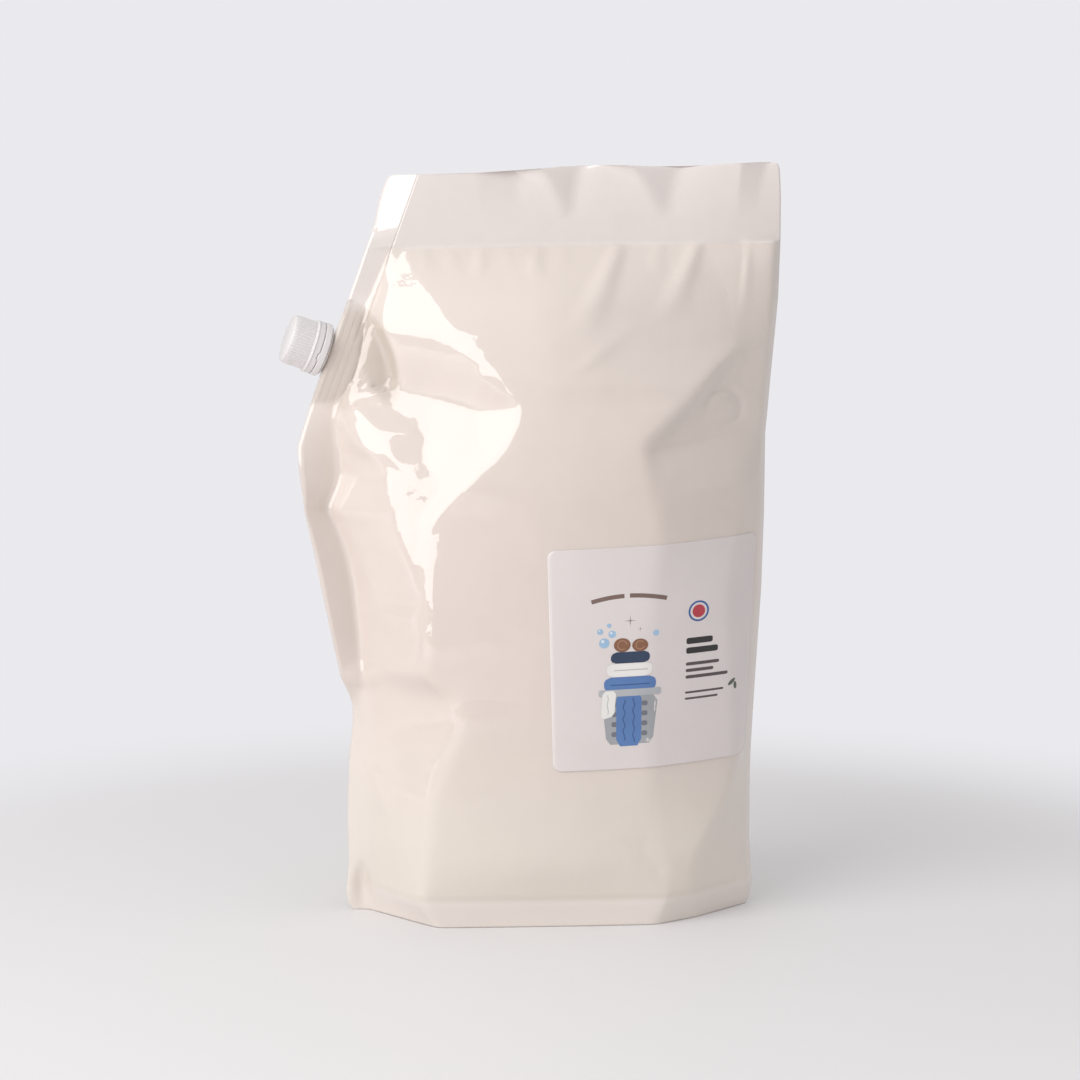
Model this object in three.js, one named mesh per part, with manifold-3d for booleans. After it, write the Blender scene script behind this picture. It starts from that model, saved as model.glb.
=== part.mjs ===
// Stand-up refill pouch of glossy film with a welded side spout and screw cap.
// Millimetres, +Z up. The pouch's mid-plane is y = 0, its front faces -Y, and it stands on z = 0.
import * as THREE from 'three';
import { mergeVertices } from 'three/addons/utils/BufferGeometryUtils.js';
import Module from 'manifold-3d';

const wasm = await Module();
wasm.setup();
const { lerp, clamp, smoothstep, degToRad } = THREE.MathUtils;

// Driving dimensions of the pouch
const SEAL_Z = 348;            // lower edge of the top seal at its left end
const SEAL_RISE = 0.018;       // the film stands slightly askew, so the seal climbs to the right
const SEAL_BAND = 13;          // height of the top seal band
const HEADER_LOOSE = 27;       // height of the loose header above that band
const SKIRT_Z = 14;            // height of the sealed skirt round the gusset
const FIN_HALF = 0.5;          // half thickness of the two films where they are sealed together
const FIN_WIDTH = 4;           // how far the right side seal turns out of the bag's wall
const FRONT_FIN_OUT = 4.5;     // how far forward the front film stands where it starts
const BACK_FIN_OUT = 2;
const SKIRT_THICK = 1.4;
const SKIRT_GROOVE = 1.2;      // depth of the groove along the skirt's upper edge
const GROOVE_WIDTH = 1.6;
const SWELL = 0.035;           // swell of a stretch of film between two folds, for its width
const SWELL_SPAN = 100;        // a stretch narrower than this swells less
const SWELL_FADE = 30;         // distance below the top seal over which the swell grows
const RISE_FROM = 300;         // the rows of film tilt towards the askew seal from here up
const GUSSET_LIFT = 5;         // height of the hollow just behind the skirt
const CORNER_LIFT = 16;        // height of the gusset inside the two bottom corners

// Driving dimensions of the spout and cap, along the spout's axis from the film's slanted edge
const SPOUT_UP = 29.3;         // distance of the spout's axis up the slanted edge
const SPOUT_SWING = 9;         // degrees that the spout swings towards the front
const BOAT_LENGTH = 52;        // the boat is the pointed oval base that the films are welded to
const BOAT_HALF = 8.2;         // its half thickness at the middle
const BOAT_DEPTH = 13;
const BOAT_RIBS = 4;
const BOAT_RIB_THICK = 1.3;
const BOAT_RIB_OUT = 0.6;
const FILM_OVER_BOAT = 1.3;
const WELD_FADE = 12;          // distance behind the boat over which the two films draw together
const FIT_GAP = 0.3;
const BOAT_BORE_R = 6.4;
const BORE_R = 8.2;
const NECK_R = 10;
const NECK_FOOT_R = 7.6;
const NECK_TOP = 19.6;
const FLANGE_R = 12.4;
const FLANGE_LOW = 1.9;
const FLANGE_HIGH = 2.7;
const BEAD_R = 11.2;
const BEAD_LOW = 4.5;
const BEAD_HIGH = 5.6;
const BAND_LOW = 3.0;
const BAND_HIGH = 6.2;
const BAND_R = 14;
const BAND_LIP_R = 10.6;
const CAP_LOW = 6.6;
const COLLAR_HIGH = 10.7;
const CAP_TOP = 23.1;
const CAP_DOME = 0.8;
const COLLAR_R = 13.75;
const CAP_R = 12.4;
const CAP_BORE_R = 11.5;
const LINER_R = 10.9;
const LINER_THICK = 1.2;
const CAP_RIBS = 48;
const RIB_OUT = 0.45;
const TURNED_SIDES = 36;
const LINER_SIDES = 32;

const MATERIALS = {
  film: new THREE.MeshStandardMaterial({ color: 0xe4d8cc, roughness: 0.25 }),
  plastic: new THREE.MeshStandardMaterial({ color: 0xe6dfdc, roughness: 0.4 }),
  label: new THREE.MeshStandardMaterial({ color: 0xdcd6d3, roughness: 0.4 }),
};

// Lines drawn by hand as rows that rise in their first column, read with the column wanted
function at(rows, z, column) {
  let k = 1;
  while (k < rows.length - 1 && rows[k][0] < z) k += 1;
  const t = clamp((z - rows[k - 1][0]) / (rows[k][0] - rows[k - 1][0]), 0, 1);
  return lerp(rows[k - 1][column], rows[k][column], t);
}

function soft(rows, z, column) {
  return (at(rows, z - 3, column) + 2 * at(rows, z, column) + at(rows, z + 3, column)) / 4;
}

// Outlines of the standing pouch: [z, x]
const LEFT_EDGE = [
  [0, -104], [4, -106.5], [10, -107.5], [26, -105.8], [48, -106.5], [79, -105.6], [100, -103.3],
  [110, -103.4], [116, -105], [126, -109.5], [161, -116.8], [189, -122.3], [212, -127.3], [233, -130],
  [246, -130.9], [267, -124.2], [383, -82.2], [386, -79.5], [388, -74.4],
];

const RIGHT_EDGE = [
  [0, 105], [4, 107], [12, 108.5], [34, 107.2], [81, 107.9], [115, 109.8], [168, 113.1], [208, 114.3],
  [250, 114.7], [280, 117.1], [320, 120.7], [345, 121.4], [365, 121.1], [378, 120.2], [384, 119],
  [388, 114],
];

// Top edge of the header: [x, distance above its drawn top]
const TOP_EDGE = [
  [-75, -2.6], [-38, -1.6], [-12, 0], [6, 1.8], [31, 2.6], [51, 2], [68, 1.5], [84, 2.6], [110, 4.1],
];

// Forward lean of the two side seams: [z, out]
const RIGHT_SEAM_OUT = [[0, 0], [20, -2], [60, -4], [250, -4], [320, -2], [348, 0], [391, 0]];

const FLAP_EDGE_OUT = [
  [0, 0], [60, 0], [104, 1], [112, 3], [119, 8], [130, 12], [150, 14], [215, 14], [240, 12], [252, 8.5],
  [267, 3.5], [300, 2.5], [348, 0.5], [391, 0],
];

// The whole right side curls backwards from CURL_START to its edge: [z, reach]
const RIGHT_CURL = [[0, 0], [20, 1], [60, 4], [120, 5], [300, 6], [348, 6], [370, 4], [391, 2]];

const CURL_START = 66;

// Fold lines of the front film: [z, x, out], out being the distance forward of the mid-plane
const FRONT_FOLDS = [
  // inner line of the left seal and flap, a valley
  [[0, -95, 1.5], [14, -97, 3], [30, -98, 6], [60, -98, 9], [98, -97, 10], [114, -98, 10],
    [126, -98, 10], [160, -101, 8], [177, -103, 7], [192, -106, 6], [204, -111, 5.5], [213, -117, 5],
    [221, -113, 5], [230, -109, 5], [246, -110, 5], [261, -112, 5], [276, -106.5, 6], [300, -98.5, 6.5],
    [316, -93, 6], [340, -85.5, 2.5], [348, -83, 0.5]],
  // near edge of the rounded ridge that starts under the spout
  [[0, -81, 19.4], [14, -86.2, 20.7], [43, -85.6, 24.1], [67, -84.7, 25.6], [89, -81.5, 26.4],
    [104, -78.8, 26.7], [113, -78.8, 26.7], [120, -80, 26.1], [131, -86.3, 24.1], [143, -71.5, 40.6],
    [162, -75, 38.8], [166, -70.6, 41.4], [174, -72.5, 40.6], [181, -74, 39.3], [189, -77, 37.2],
    [197, -80.5, 34.9], [206, -82, 33.4], [214, -83.5, 31.6], [221, -84.5, 30.8], [227, -85, 30.6],
    [232, -85, 31.2], [239, -89, 29.7], [248, -99.5, 22.7], [264, -107, 13], [272, -104, 10],
    [300, -94, 10], [316, -90.5, 8], [340, -82, 3], [348, -80, 0.5]],
  // far edge of that ridge
  [[0, -73.3, 29], [14, -80.3, 30.2], [43, -78.8, 33], [67, -77.5, 34.4], [89, -72.9, 35.2],
    [104, -68.6, 35.6], [113, -68.2, 35.6], [120, -70.1, 34.7], [131, -79.6, 31.8], [143, -70.5, 41.5],
    [162, -72.5, 40.2], [166, -69.9, 41.9], [174, -71, 41], [189, -73.5, 39], [197, -76, 37.4],
    [206, -76.5, 36.3], [214, -77, 35], [221, -75, 35.7], [226, -71, 37.4], [229, -70.5, 39.2],
    [235.6, -73.6, 36.5], [239, -80.5, 34], [247, -86, 29.8], [256, -91, 25.4], [261, -98, 20.5],
    [265.6, -101, 17.5], [272, -96, 14], [281, -92, 14], [290, -90, 14], [300, -89, 13], [316, -88, 9],
    [340, -80, 3.2], [348, -78.5, 0.5]],
  // valley between that ridge and the shoulder, which runs up beside the spout's weld
  [[0, -66.3, 37.5], [14, -74.9, 38.6], [43, -72.6, 41], [67, -70.9, 42.1], [89, -65.1, 43.1],
    [104, -59.3, 43.5], [113, -58.6, 43.5], [120, -61.1, 42.3], [131, -73.5, 38.5], [143, -69.5, 42.4],
    [162, -70, 41.6], [174, -69.2, 42], [189, -70, 40.9], [197, -70.5, 40], [206, -70, 39.4],
    [214, -68, 39.1], [221, -64, 40.7], [227, -58, 43], [236, -63, 37.9], [242.5, -65.7, 34.5],
    [254.6, -69, 29], [260, -74.4, 25.1], [265.3, -81, 20.6], [268, -86, 18], [273, -83, 18.5],
    [281, -77, 20.5], [290, -79, 20], [300, -84, 18], [316, -85.5, 10.5], [340, -78, 3.5],
    [348, -77, 0.5]],
  // left shoulder, the main ridge
  [[0, -60, 45], [14, -70, 46], [43, -67, 48], [67, -65, 49], [89, -58, 50], [104, -51, 50.5],
    [113, -50, 50.5], [120, -53, 49], [131, -68, 44.5], [150, -68, 43.6], [172, -66, 43.5],
    [191, -65, 43.5], [203, -63, 43.6], [212, -60, 43.8], [221, -51.5, 46.2], [227, -46.5, 47.8],
    [234, -39, 48.2], [241, -30, 48.6], [249, -23, 48.5], [260, -18.5, 47.5], [270, -18, 46],
    [277, -22, 44.5], [285, -28, 42.4], [295, -38, 38], [306, -48, 31.5], [316, -55, 24],
    [325, -61, 17.5], [338, -71, 7], [348, -74, 0.5]],
  // middle of the front
  [[0, -2, 46], [14, -2, 46.5], [30, -2, 49], [100, -2, 52], [150, -2, 51.5], [200, -2, 50.5],
    [250, 8, 49.5], [280, 8, 44], [300, 6, 36.5], [320, 2, 26], [336, 0, 13.5], [344, 0, 6],
    [348, 0, 0.5]],
  // ridge that runs from the right bottom corner up to the dent under the right shoulder
  [[0, 52, 45.5], [14, 58, 46], [40, 54, 48.5], [80, 49, 50.5], [149, 47, 50.5], [190, 52, 49],
    [203, 54, 48], [214, 52, 48.5], [226, 48, 49], [242, 44.5, 49], [249, 43, 48.5], [254, 48, 47],
    [264, 59, 43], [279, 75, 33.5], [291, 88, 23], [298, 95, 16.5], [320, 93, 10], [336, 86, 6],
    [348, 80, 0.5]],
  // right shoulder
  [[0, 76, 29], [15, 72, 36], [38, 74, 39], [55, 85, 33], [67, 92, 27], [82, 97, 22], [110, 96, 25],
    [146, 93, 29], [168, 91, 31], [190, 95, 25], [209, 101, 17], [228, 99, 18], [254, 97, 15],
    [279, 100, 12], [298, 103, 11], [320, 103, 8], [336, 102, 5], [348, 100, 0.5]],
];

// Half width over which each fold is rounded, and how the shoulder's changes: [z, half width]
const FRONT_ROUND = [2, 3, 3, 2, 3, 26, 4, 6];
const FRONT_COLUMNS = [2, 4, 2, 3, 4, 5, 5, 4, 3, 2];

const SHOULDER = 4;

const SHOULDER_ROUND = [[0, 5], [90, 6], [122, 7], [140, 2.5], [391, 2.5]];

// A line rounded as widely as this only guides the film and breaks no swell
const WIDE_ROUND = 14;

// Fold lines of the back film: [z, x, out], out being the distance backward
const BACK_FOLDS = [
  [[0, -95, 1.5], [14, -97, 3], [60, -98, 8], [112, -96, 8], [160, -103, 6], [214, -113, 4],
    [262, -112, 4], [321, -89.5, 5], [340, -83.5, 2.5], [348, -80.5, 0.5]],
  [[0, -76, 27], [14, -80, 30], [60, -82, 31], [112, -80, 34], [160, -82, 34], [214, -88, 25],
    [262, -86, 20], [300, -80, 17], [321, -72, 12], [340, -70, 4.5], [348, -70, 0.5]],
  [[0, -58, 45], [14, -62, 46], [60, -62, 49], [112, -55, 50], [160, -60, 49], [214, -46, 47],
    [262, -40, 42], [300, -46, 31], [321, -44, 20], [340, -42, 6], [348, -42, 0.5]],
  [[0, 0, 46], [14, 0, 46.5], [60, 0, 50.5], [150, 0, 51.5], [214, 0, 49.5], [262, 0, 45],
    [300, 0, 34.5], [321, 0, 24], [336, 0, 13], [344, 0, 6], [348, 0, 0.5]],
  [[0, 54, 45], [14, 60, 46], [60, 60, 49.5], [112, 58, 50], [160, 55, 49], [214, 62, 43], [262, 56, 41],
    [300, 62, 28], [321, 60, 18], [340, 60, 6], [348, 60, 0.5]],
  [[0, 78, 27], [14, 80, 30], [60, 88, 28], [112, 90, 29], [160, 92, 27], [214, 95, 22], [262, 97, 17],
    [300, 98, 13], [321, 99, 9], [340, 98, 4], [348, 98, 0.5]],
];

const BACK_ROUND = [3, 5, 6, 16, 8, 6];
const BACK_COLUMNS = [2, 5, 5, 6, 6, 5, 3, 2];

// Smaller folds: [x, z, height, reach on its left, reach on its right], as walked from the first row
const FRONT_CREASES = [
  // valley that runs to the point of the left shoulder
  [[-82, 275, -3, 34, 8], [-68, 272, -5.5, 34, 16], [-60, 270, -6, 32, 24], [-40, 265.5, -5, 21, 26],
    [-28, 267, -3, 10, 16], [-18, 269, 0, 3, 5]],
  // steep side of the dent below the right shoulder
  [[46, 246, 0, 3, 3], [52, 246, -1.6, 7, 14], [75, 266, -2.6, 9, 20], [92, 284, -1.6, 8, 14],
    [98, 292, 0, 4, 6]],
  // valley across the dent
  [[46, 243, 0, 3, 3], [62, 247, -2.5, 14, 22], [80, 250, -3, 18, 26], [97, 253, -2, 20, 26]],
  // oval crease in the dent
  [[80, 262, 0, 3, 3], [79, 269, -1, 3.5, 3], [84, 275, -1.3, 3.5, 3], [92, 275, -1.3, 3.5, 3],
    [99, 268, -1.3, 3.5, 3], [98, 261, -1.2, 3.5, 3], [90, 257, -0.8, 3.5, 3], [82, 259, 0, 3, 3]],
  // long faint diagonal crease above the middle
  [[47, 314, 0, 4, 4], [20, 293, 0.9, 5, 5], [2, 281, 0, 4, 4]],
  // soft crease down the left slope
  [[-112, 207, 0, 4, 4], [-106, 202, 1, 7, 7], [-98, 186, 1.2, 8, 8], [-87, 160, 0.8, 7, 7],
    [-83, 148, 0, 4, 4]],
  // arc near the right end of the foot
  [[26, 47, 0, 5, 5], [44, 40, -1.2, 9, 7], [53, 30, -1.2, 8, 7], [58, 17, 0, 4, 4]],
  // dimple on the lower left
  [[-94, 84, 0, 3, 3], [-93, 76, 1, 6, 5], [-88, 60, 1, 6, 5], [-83, 50, 0, 4, 4]],
];

const BACK_CREASES = [
  // long soft creases of the back, from its upper corners towards the middle
  [[-70, 318, 0, 8, 8], [-40, 285, -3, 16, 16], [-10, 250, -3, 20, 18], [18, 215, 0, 12, 12]],
  [[86, 316, 0, 8, 8], [62, 280, 2.4, 14, 14], [40, 240, 1.8, 14, 14], [30, 205, 0, 10, 10]],
  [[-84, 150, 0, 8, 8], [-62, 128, -2.6, 14, 16], [-46, 104, 0, 8, 8]],
  [[88, 120, 0, 8, 8], [66, 100, -2.4, 12, 16], [52, 70, 0, 8, 8]],
];

// Soft folds that hang from the top seal: [x, length, height, lean, half width]
const FRONT_PUCKERS = [
  [-66, 14, 1.6, 3, 3], [-52, 16, 1.6, 3, 4], [-35, 17, 2.2, -3, 4.5], [-22, 13, 1.2, 0, 3],
  [-7, 18, 2.8, -2, 4], [8, 16, 1.4, -4, 4], [36, 46, 3.6, -22, 9], [57, 18, 1.5, -4, 4],
  [77, 40, 3.4, -18, 8], [104, 40, 2.4, -3, 4],
];

const BACK_PUCKERS = [
  [-60, 18, 1.6, 3, 4], [-8, 20, 1.8, 3, 4], [24, 30, 2.6, -8, 7], [52, 20, 1.8, 4, 4], [84, 30, 2.4, -6, 6],
];

// Rounded bumps and dents: [x, z, half width, half height, turn in degrees, height]
const FRONT_BUMPS = [
  // bulge of film inside the spout's weld, wider at its lower end
  [-90, 286, 12, 18, 12, 5.5], [-94, 302, 9, 24, 17, 4],
  // rounded end of the leaning flap
  [-98, 127, 12, 8, 0, 1.5],
  // tack spots at the two bottom corners
  [-99, 14, 5, 14, 0, -2.2],
  [103, 22, 5, 12, 0, -2.2],
];

// Folds of the loose header: [x at its top edge, x at its lower edge, out at the top edge]
const HEADER_FOLDS = [
  [-84, -84, 0], [-60, -62, 1.8], [-38, -36, 2.4], [-20, -14, -1.4], [-8, 8, 3.5], [18, 11.5, -3.5],
  [38, 58, 3.5], [69, 62, -3.5], [100, 98, 3], [115, 108, -2], [122, 122, 0],
];

// The outlines and folds were drawn for one seal height and top, and stretch when those change
const DRAWN_SEAL = FRONT_FOLDS[0].at(-1)[0];
const DRAWN_TOP = LEFT_EDGE.at(-1)[0];
const HEADER_LOW = SEAL_Z + SEAL_BAND;
const HEADER_TOP = HEADER_LOW + HEADER_LOOSE;

function drawn(z) {
  if (z <= SEAL_Z) return z * DRAWN_SEAL / SEAL_Z;
  return DRAWN_SEAL + (z - SEAL_Z) * (DRAWN_TOP - DRAWN_SEAL) / (HEADER_TOP - SEAL_Z);
}

function raised(z) {
  if (z <= DRAWN_SEAL) return z * SEAL_Z / DRAWN_SEAL;
  return SEAL_Z + (z - DRAWN_SEAL) * (HEADER_TOP - SEAL_Z) / (DRAWN_TOP - DRAWN_SEAL);
}

// The slanted edge that the spout is welded into: the long straight run of the left outline
const [SLANT_LOW, SLANT_HIGH] = LEFT_EDGE.slice(-4, -2).map(([z, x]) => new THREE.Vector2(x, raised(z)));

function creaseHeight(rows, x, z) {
  let best = Infinity;
  let height = 0;
  for (let k = 1; k < rows.length; k += 1) {
    const [ax, az, ah, al, ar] = rows[k - 1];
    const [bx, bz, bh, bl, br] = rows[k];
    const ux = bx - ax;
    const uz = bz - az;
    const t = clamp(((x - ax) * ux + (z - az) * uz) / (ux * ux + uz * uz), 0, 1);
    const px = x - ax - t * ux;
    const pz = z - az - t * uz;
    const gap = Math.hypot(px, pz);
    if (gap < best) {
      best = gap;
      const reach = ux * pz - uz * px > 0 ? lerp(al, bl, t) : lerp(ar, br, t);
      height = lerp(ah, bh, t) * Math.max(0, 1 - gap / reach);
    }
  }
  return height;
}

function puckerHeight([px, length, height, lean, width], x, z) {
  const down = clamp((sealLine(px) - z) / length, 0, 1);
  const across = clamp((x - px - lean * down) / (width * (0.5 + down)), -1, 1);
  return height * (1 - across ** 2) ** 2 * Math.sin(Math.PI * Math.sqrt(down));
}

function bumpHeight([cx, cz, rx, rz, turn, height], x, z) {
  const c = Math.cos(degToRad(turn));
  const s = Math.sin(degToRad(turn));
  const r = Math.hypot(((x - cx) * c + (z - cz) * s) / rx, ((z - cz) * c - (x - cx) * s) / rz);
  return height * Math.max(0, 1 - r * r) ** 0.8;
}

// The lower edge of the top seal as drawn
function sealLine(x) {
  return DRAWN_SEAL + SEAL_RISE * (x - at(LEFT_EDGE, DRAWN_SEAL, 1));
}

// Frame of the spout: origin on the film's edge, z out along its axis, y up the slanted edge
const slantDirection = SLANT_HIGH.clone().sub(SLANT_LOW).normalize();
const SPOUT_FOOT = SLANT_LOW.clone().addScaledVector(slantDirection, SPOUT_UP);
const EDGE_LEAN = at(FLAP_EDGE_OUT, drawn(SPOUT_FOOT.y), 1);
const spoutFrame = new THREE.Matrix4();
{
  const up = new THREE.Vector3(slantDirection.x, 0, slantDirection.y);
  const out = new THREE.Vector3(-slantDirection.y, 0, slantDirection.x);
  out.applyAxisAngle(up, degToRad(SPOUT_SWING));
  const side = new THREE.Vector3().crossVectors(up, out);
  spoutFrame.makeBasis(side, up, out);
  spoutFrame.setPosition(SPOUT_FOOT.x, -EDGE_LEAN, SPOUT_FOOT.y);
}

// Half thickness of the boat at a distance v along the slanted edge from its middle
function boatHalf(v) {
  const t = clamp(1 - (2 * v / BOAT_LENGTH) ** 2, 0, 1);
  return BOAT_HALF * t ** 0.8;
}

// Half thickness of the film round the boat, and the lean of its middle there
function weldAt(x, z) {
  const vx = x - SLANT_LOW.x;
  const vz = z - SLANT_LOW.y;
  const along = vx * slantDirection.x + vz * slantDirection.y - SPOUT_UP;
  const inside = vx * slantDirection.y - vz * slantDirection.x;
  const fade = 1 - smoothstep(inside, BOAT_DEPTH + 1, BOAT_DEPTH + WELD_FADE);
  const half = (boatHalf(along * 0.93) + FILM_OVER_BOAT) * fade;
  const lean = EDGE_LEAN - inside * Math.tan(degToRad(SPOUT_SWING));
  const near = Math.abs(along) < BOAT_LENGTH / 2 + 2 ? fade : 0;
  return { half, lean: lean * near, near };
}

// Out along a row of fold points, each rounded over its own half width
function profile(stations, x) {
  const width = at(stations, x, 2);
  let sum = 0;
  let weights = 0;
  const taps = 4;
  for (let k = -taps; k <= taps; k += 1) {
    const weight = taps + 0.4 - Math.abs(k);
    sum += weight * at(stations, x + width * k / taps, 1);
    weights += weight;
  }
  return sum / weights;
}

// The filled film swells a little between its folds, most over the widest stretch
function swellAt(stations, x) {
  const folds = stations.filter((station) => station[2] < WIDE_ROUND);
  let k = 1;
  while (k < folds.length - 1 && folds[k][0] < x) k += 1;
  if (k === 1 || k === folds.length - 1) return 0;
  const span = folds[k][0] - folds[k - 1][0];
  const t = clamp((x - folds[k - 1][0]) / span, 0, 1);
  return clamp(span / SWELL_SPAN, 0.1, 1) * SWELL * span * 4 * t * (1 - t);
}

// Forward distance of one film at a drawn point, side 1 for the front and -1 for the back
function filmOut(side, stations, x, z) {
  const open = smoothstep(sealLine(x) - z, 0, SWELL_FADE) * smoothstep(z, 4, 40);
  let out = profile(stations, x) + swellAt(stations, x) * open;
  const [puckers, creases] = side > 0 ? [FRONT_PUCKERS, FRONT_CREASES] : [BACK_PUCKERS, BACK_CREASES];
  for (const row of puckers) out += puckerHeight(row, x, z);
  for (const rows of creases) out += creaseHeight(rows, x, z);
  if (side > 0) {
    const bumps = FRONT_BUMPS.map((row) => bumpHeight(row, x, z));
    out += Math.max(...bumps) + Math.min(...bumps);
  }
  out -= SKIRT_GROOVE * Math.exp(-(((z - SKIRT_Z) / GROOVE_WIDTH) ** 2)) * smoothstep(out, 6, 20);
  const weld = weldAt(x, raised(z));
  return Math.max(out, weld.near > 0 ? weld.half + side * weld.lean : -Infinity);
}

// Forward wave of both films in the loose header, up being 0 at its foot and 1 at its top
function headerWave(x, up) {
  const rows = HEADER_FOLDS.map(([high, low, out]) => [lerp(low, high, up), out]);
  return at(rows, x, 1) * up;
}

// How far back the curled right side carries both films
function curl(x, z) {
  const t = clamp((x - CURL_START) / (at(RIGHT_EDGE, DRAWN_SEAL, 1) - CURL_START), 0, 1.1);
  return at(RIGHT_CURL, z, 1) * t * t;
}

// Fold points across one film at a drawn height: [x, out, half width of its rounding]
function stationsAt(side, folds, rounds, z) {
  const left = at(LEFT_EDGE, z, 1);
  const right = at(RIGHT_EDGE, z, 1);
  const sealed = z >= DRAWN_SEAL;
  const level = Math.min(z, DRAWN_SEAL);
  const sealLeft = at(LEFT_EDGE, DRAWN_SEAL, 1);
  const sealRight = at(RIGHT_EDGE, DRAWN_SEAL, 1);
  const inner = folds.map((rows, k) => {
    const x = soft(rows, level, 1);
    const spread = lerp(left, right, (x - sealLeft) / (sealRight - sealLeft));
    const round = side > 0 && k === SHOULDER ? at(SHOULDER_ROUND, z, 1) : rounds[k];
    return [sealed ? spread : x, soft(rows, level, 2), round];
  });
  const finOut = sealed ? 0 : side > 0 ? FRONT_FIN_OUT : BACK_FIN_OUT;
  return [
    [left, FIN_HALF + side * soft(FLAP_EDGE_OUT, z, 1), 0.5],
    ...inner,
    [right - FIN_WIDTH, FIN_HALF + finOut, 2],
    [right, FIN_HALF + side * soft(RIGHT_SEAM_OUT, z, 1), 0.5],
  ];
}

// One film as rows of points from the left edge to the right edge
function filmRow(side, folds, rounds, columns, height) {
  const z = drawn(height);
  const stations = stationsAt(side, folds, rounds, z);
  const across = [];
  for (let k = 0; k < columns.length; k += 1) {
    for (let i = 0; i < columns[k]; i += 1) {
      across.push(lerp(stations[k][0], stations[k + 1][0], i / columns[k]));
    }
  }
  across.push(stations.at(-1)[0]);
  const inHeader = clamp((height - HEADER_LOW) / HEADER_LOOSE, 0, 1);
  const lean = soft(FLAP_EDGE_OUT, z, 1) * (1 - inHeader);
  return across.map((x) => {
    const rise = SEAL_RISE * (x - at(LEFT_EDGE, DRAWN_SEAL, 1)) * smoothstep(z, RISE_FROM, DRAWN_SEAL);
    const level = lerp(height + rise, HEADER_TOP + at(TOP_EDGE, x, 1), inHeader);
    const flat = FIN_HALF + side * (lean + headerWave(x, inHeader));
    const out = z >= DRAWN_SEAL ? flat : filmOut(side, stations, x, z + rise);
    return new THREE.Vector3(x, -side * out + curl(x, drawn(level)), level);
  });
}

// Heights of the rows, closest where the folds are finest
function rowHeights() {
  const heights = [0, 5, SKIRT_Z, 20];
  for (const [low, high, step] of [[29, 105, 10], [110, 206, 8], [212, 303, 6], [307, 344, 7]]) {
    for (let z = low; z < high; z += step) heights.push(raised(z));
  }
  heights.push(SEAL_Z, HEADER_LOW - 1);
  for (const share of [0, 0.33, 0.67, 0.89, 1]) heights.push(HEADER_LOW + share * HEADER_LOOSE);
  return heights;
}

// Point of the gusset under the bag, t running from the front film to the back film
function gussetPoint(front, back, t) {
  const p = front.clone().lerp(back, t);
  const depth = front.distanceTo(back);
  const edge = Math.min(t, 1 - t) * depth;
  const hollow = smoothstep(edge, 0, SKIRT_THICK + 1) * (1 - smoothstep(edge, 6, 16)) * GUSSET_LIFT;
  const corner = (1 - smoothstep(depth, 30, 62)) * smoothstep(depth, 3, 16) * CORNER_LIFT;
  p.z += Math.max(hollow * smoothstep(depth, 4, 20), corner * smoothstep(edge, 0, SKIRT_THICK + 1));
  return p;
}

function addSheet(triangles, rows, flip = false) {
  for (let j = 0; j < rows.length - 1; j += 1) {
    for (let i = 0; i < rows[j].length - 1; i += 1) {
      const quad = [rows[j][i], rows[j][i + 1], rows[j + 1][i + 1], rows[j + 1][i]];
      if (flip) quad.reverse();
      triangles.push(quad[0], quad[1], quad[2], quad[0], quad[2], quad[3]);
    }
  }
}

// Solid between two films that share their rows and columns, open below
function addWalls(triangles, front, back) {
  const top = front.length - 1;
  const right = front[0].length - 1;
  addSheet(triangles, front);
  addSheet(triangles, back, true);
  addSheet(triangles, [front[top], back[top]]);
  addSheet(triangles, front.map((row, j) => [row[0], back[j][0]]), true);
  addSheet(triangles, front.map((row, j) => [row[right], back[j][right]]));
}

function closedSheet(front, back) {
  const triangles = [];
  addWalls(triangles, front, back);
  addSheet(triangles, [back[0], front[0]]);
  return new THREE.BufferGeometry().setFromPoints(triangles);
}

function makePouch(front, back) {
  const triangles = [];
  addWalls(triangles, front, back);
  const steps = [0, 0.016, 0.05, 0.12, 0.2, 0.5, 0.8, 0.88, 0.95, 0.984, 1];
  const under = steps.map((t) => front[0].map((p, i) => gussetPoint(p, back[0][i], t)));
  addSheet(triangles, [...under].reverse());
  [0, front[0].length - 1].forEach((i) => {
    const foot = under.map((row) => row[i]);
    for (let s = 1; s < foot.length - 1; s += 1) {
      triangles.push(...(i === 0 ? [foot[0], foot[s + 1], foot[s]] : [foot[0], foot[s], foot[s + 1]]));
    }
  });
  return new THREE.BufferGeometry().setFromPoints(triangles);
}

// Joins and cuts
function toSolid(geometry) {
  const g = geometry.clone();
  g.deleteAttribute('normal');
  g.deleteAttribute('uv');
  const merged = mergeVertices(g, 1e-4);
  const vertProperties = new Float32Array(merged.attributes.position.array);
  const triVerts = new Uint32Array(merged.index.array);
  const mesh = new wasm.Mesh({ numProp: 3, vertProperties, triVerts });
  mesh.merge();
  return new wasm.Manifold(mesh);
}

function toGeometry(solid) {
  const mesh = solid.getMesh();
  const geometry = new THREE.BufferGeometry();
  geometry.setAttribute('position', new THREE.BufferAttribute(new Float32Array(mesh.vertProperties), 3));
  geometry.setIndex(new THREE.BufferAttribute(new Uint32Array(mesh.triVerts), 1));
  return geometry;
}

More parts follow.
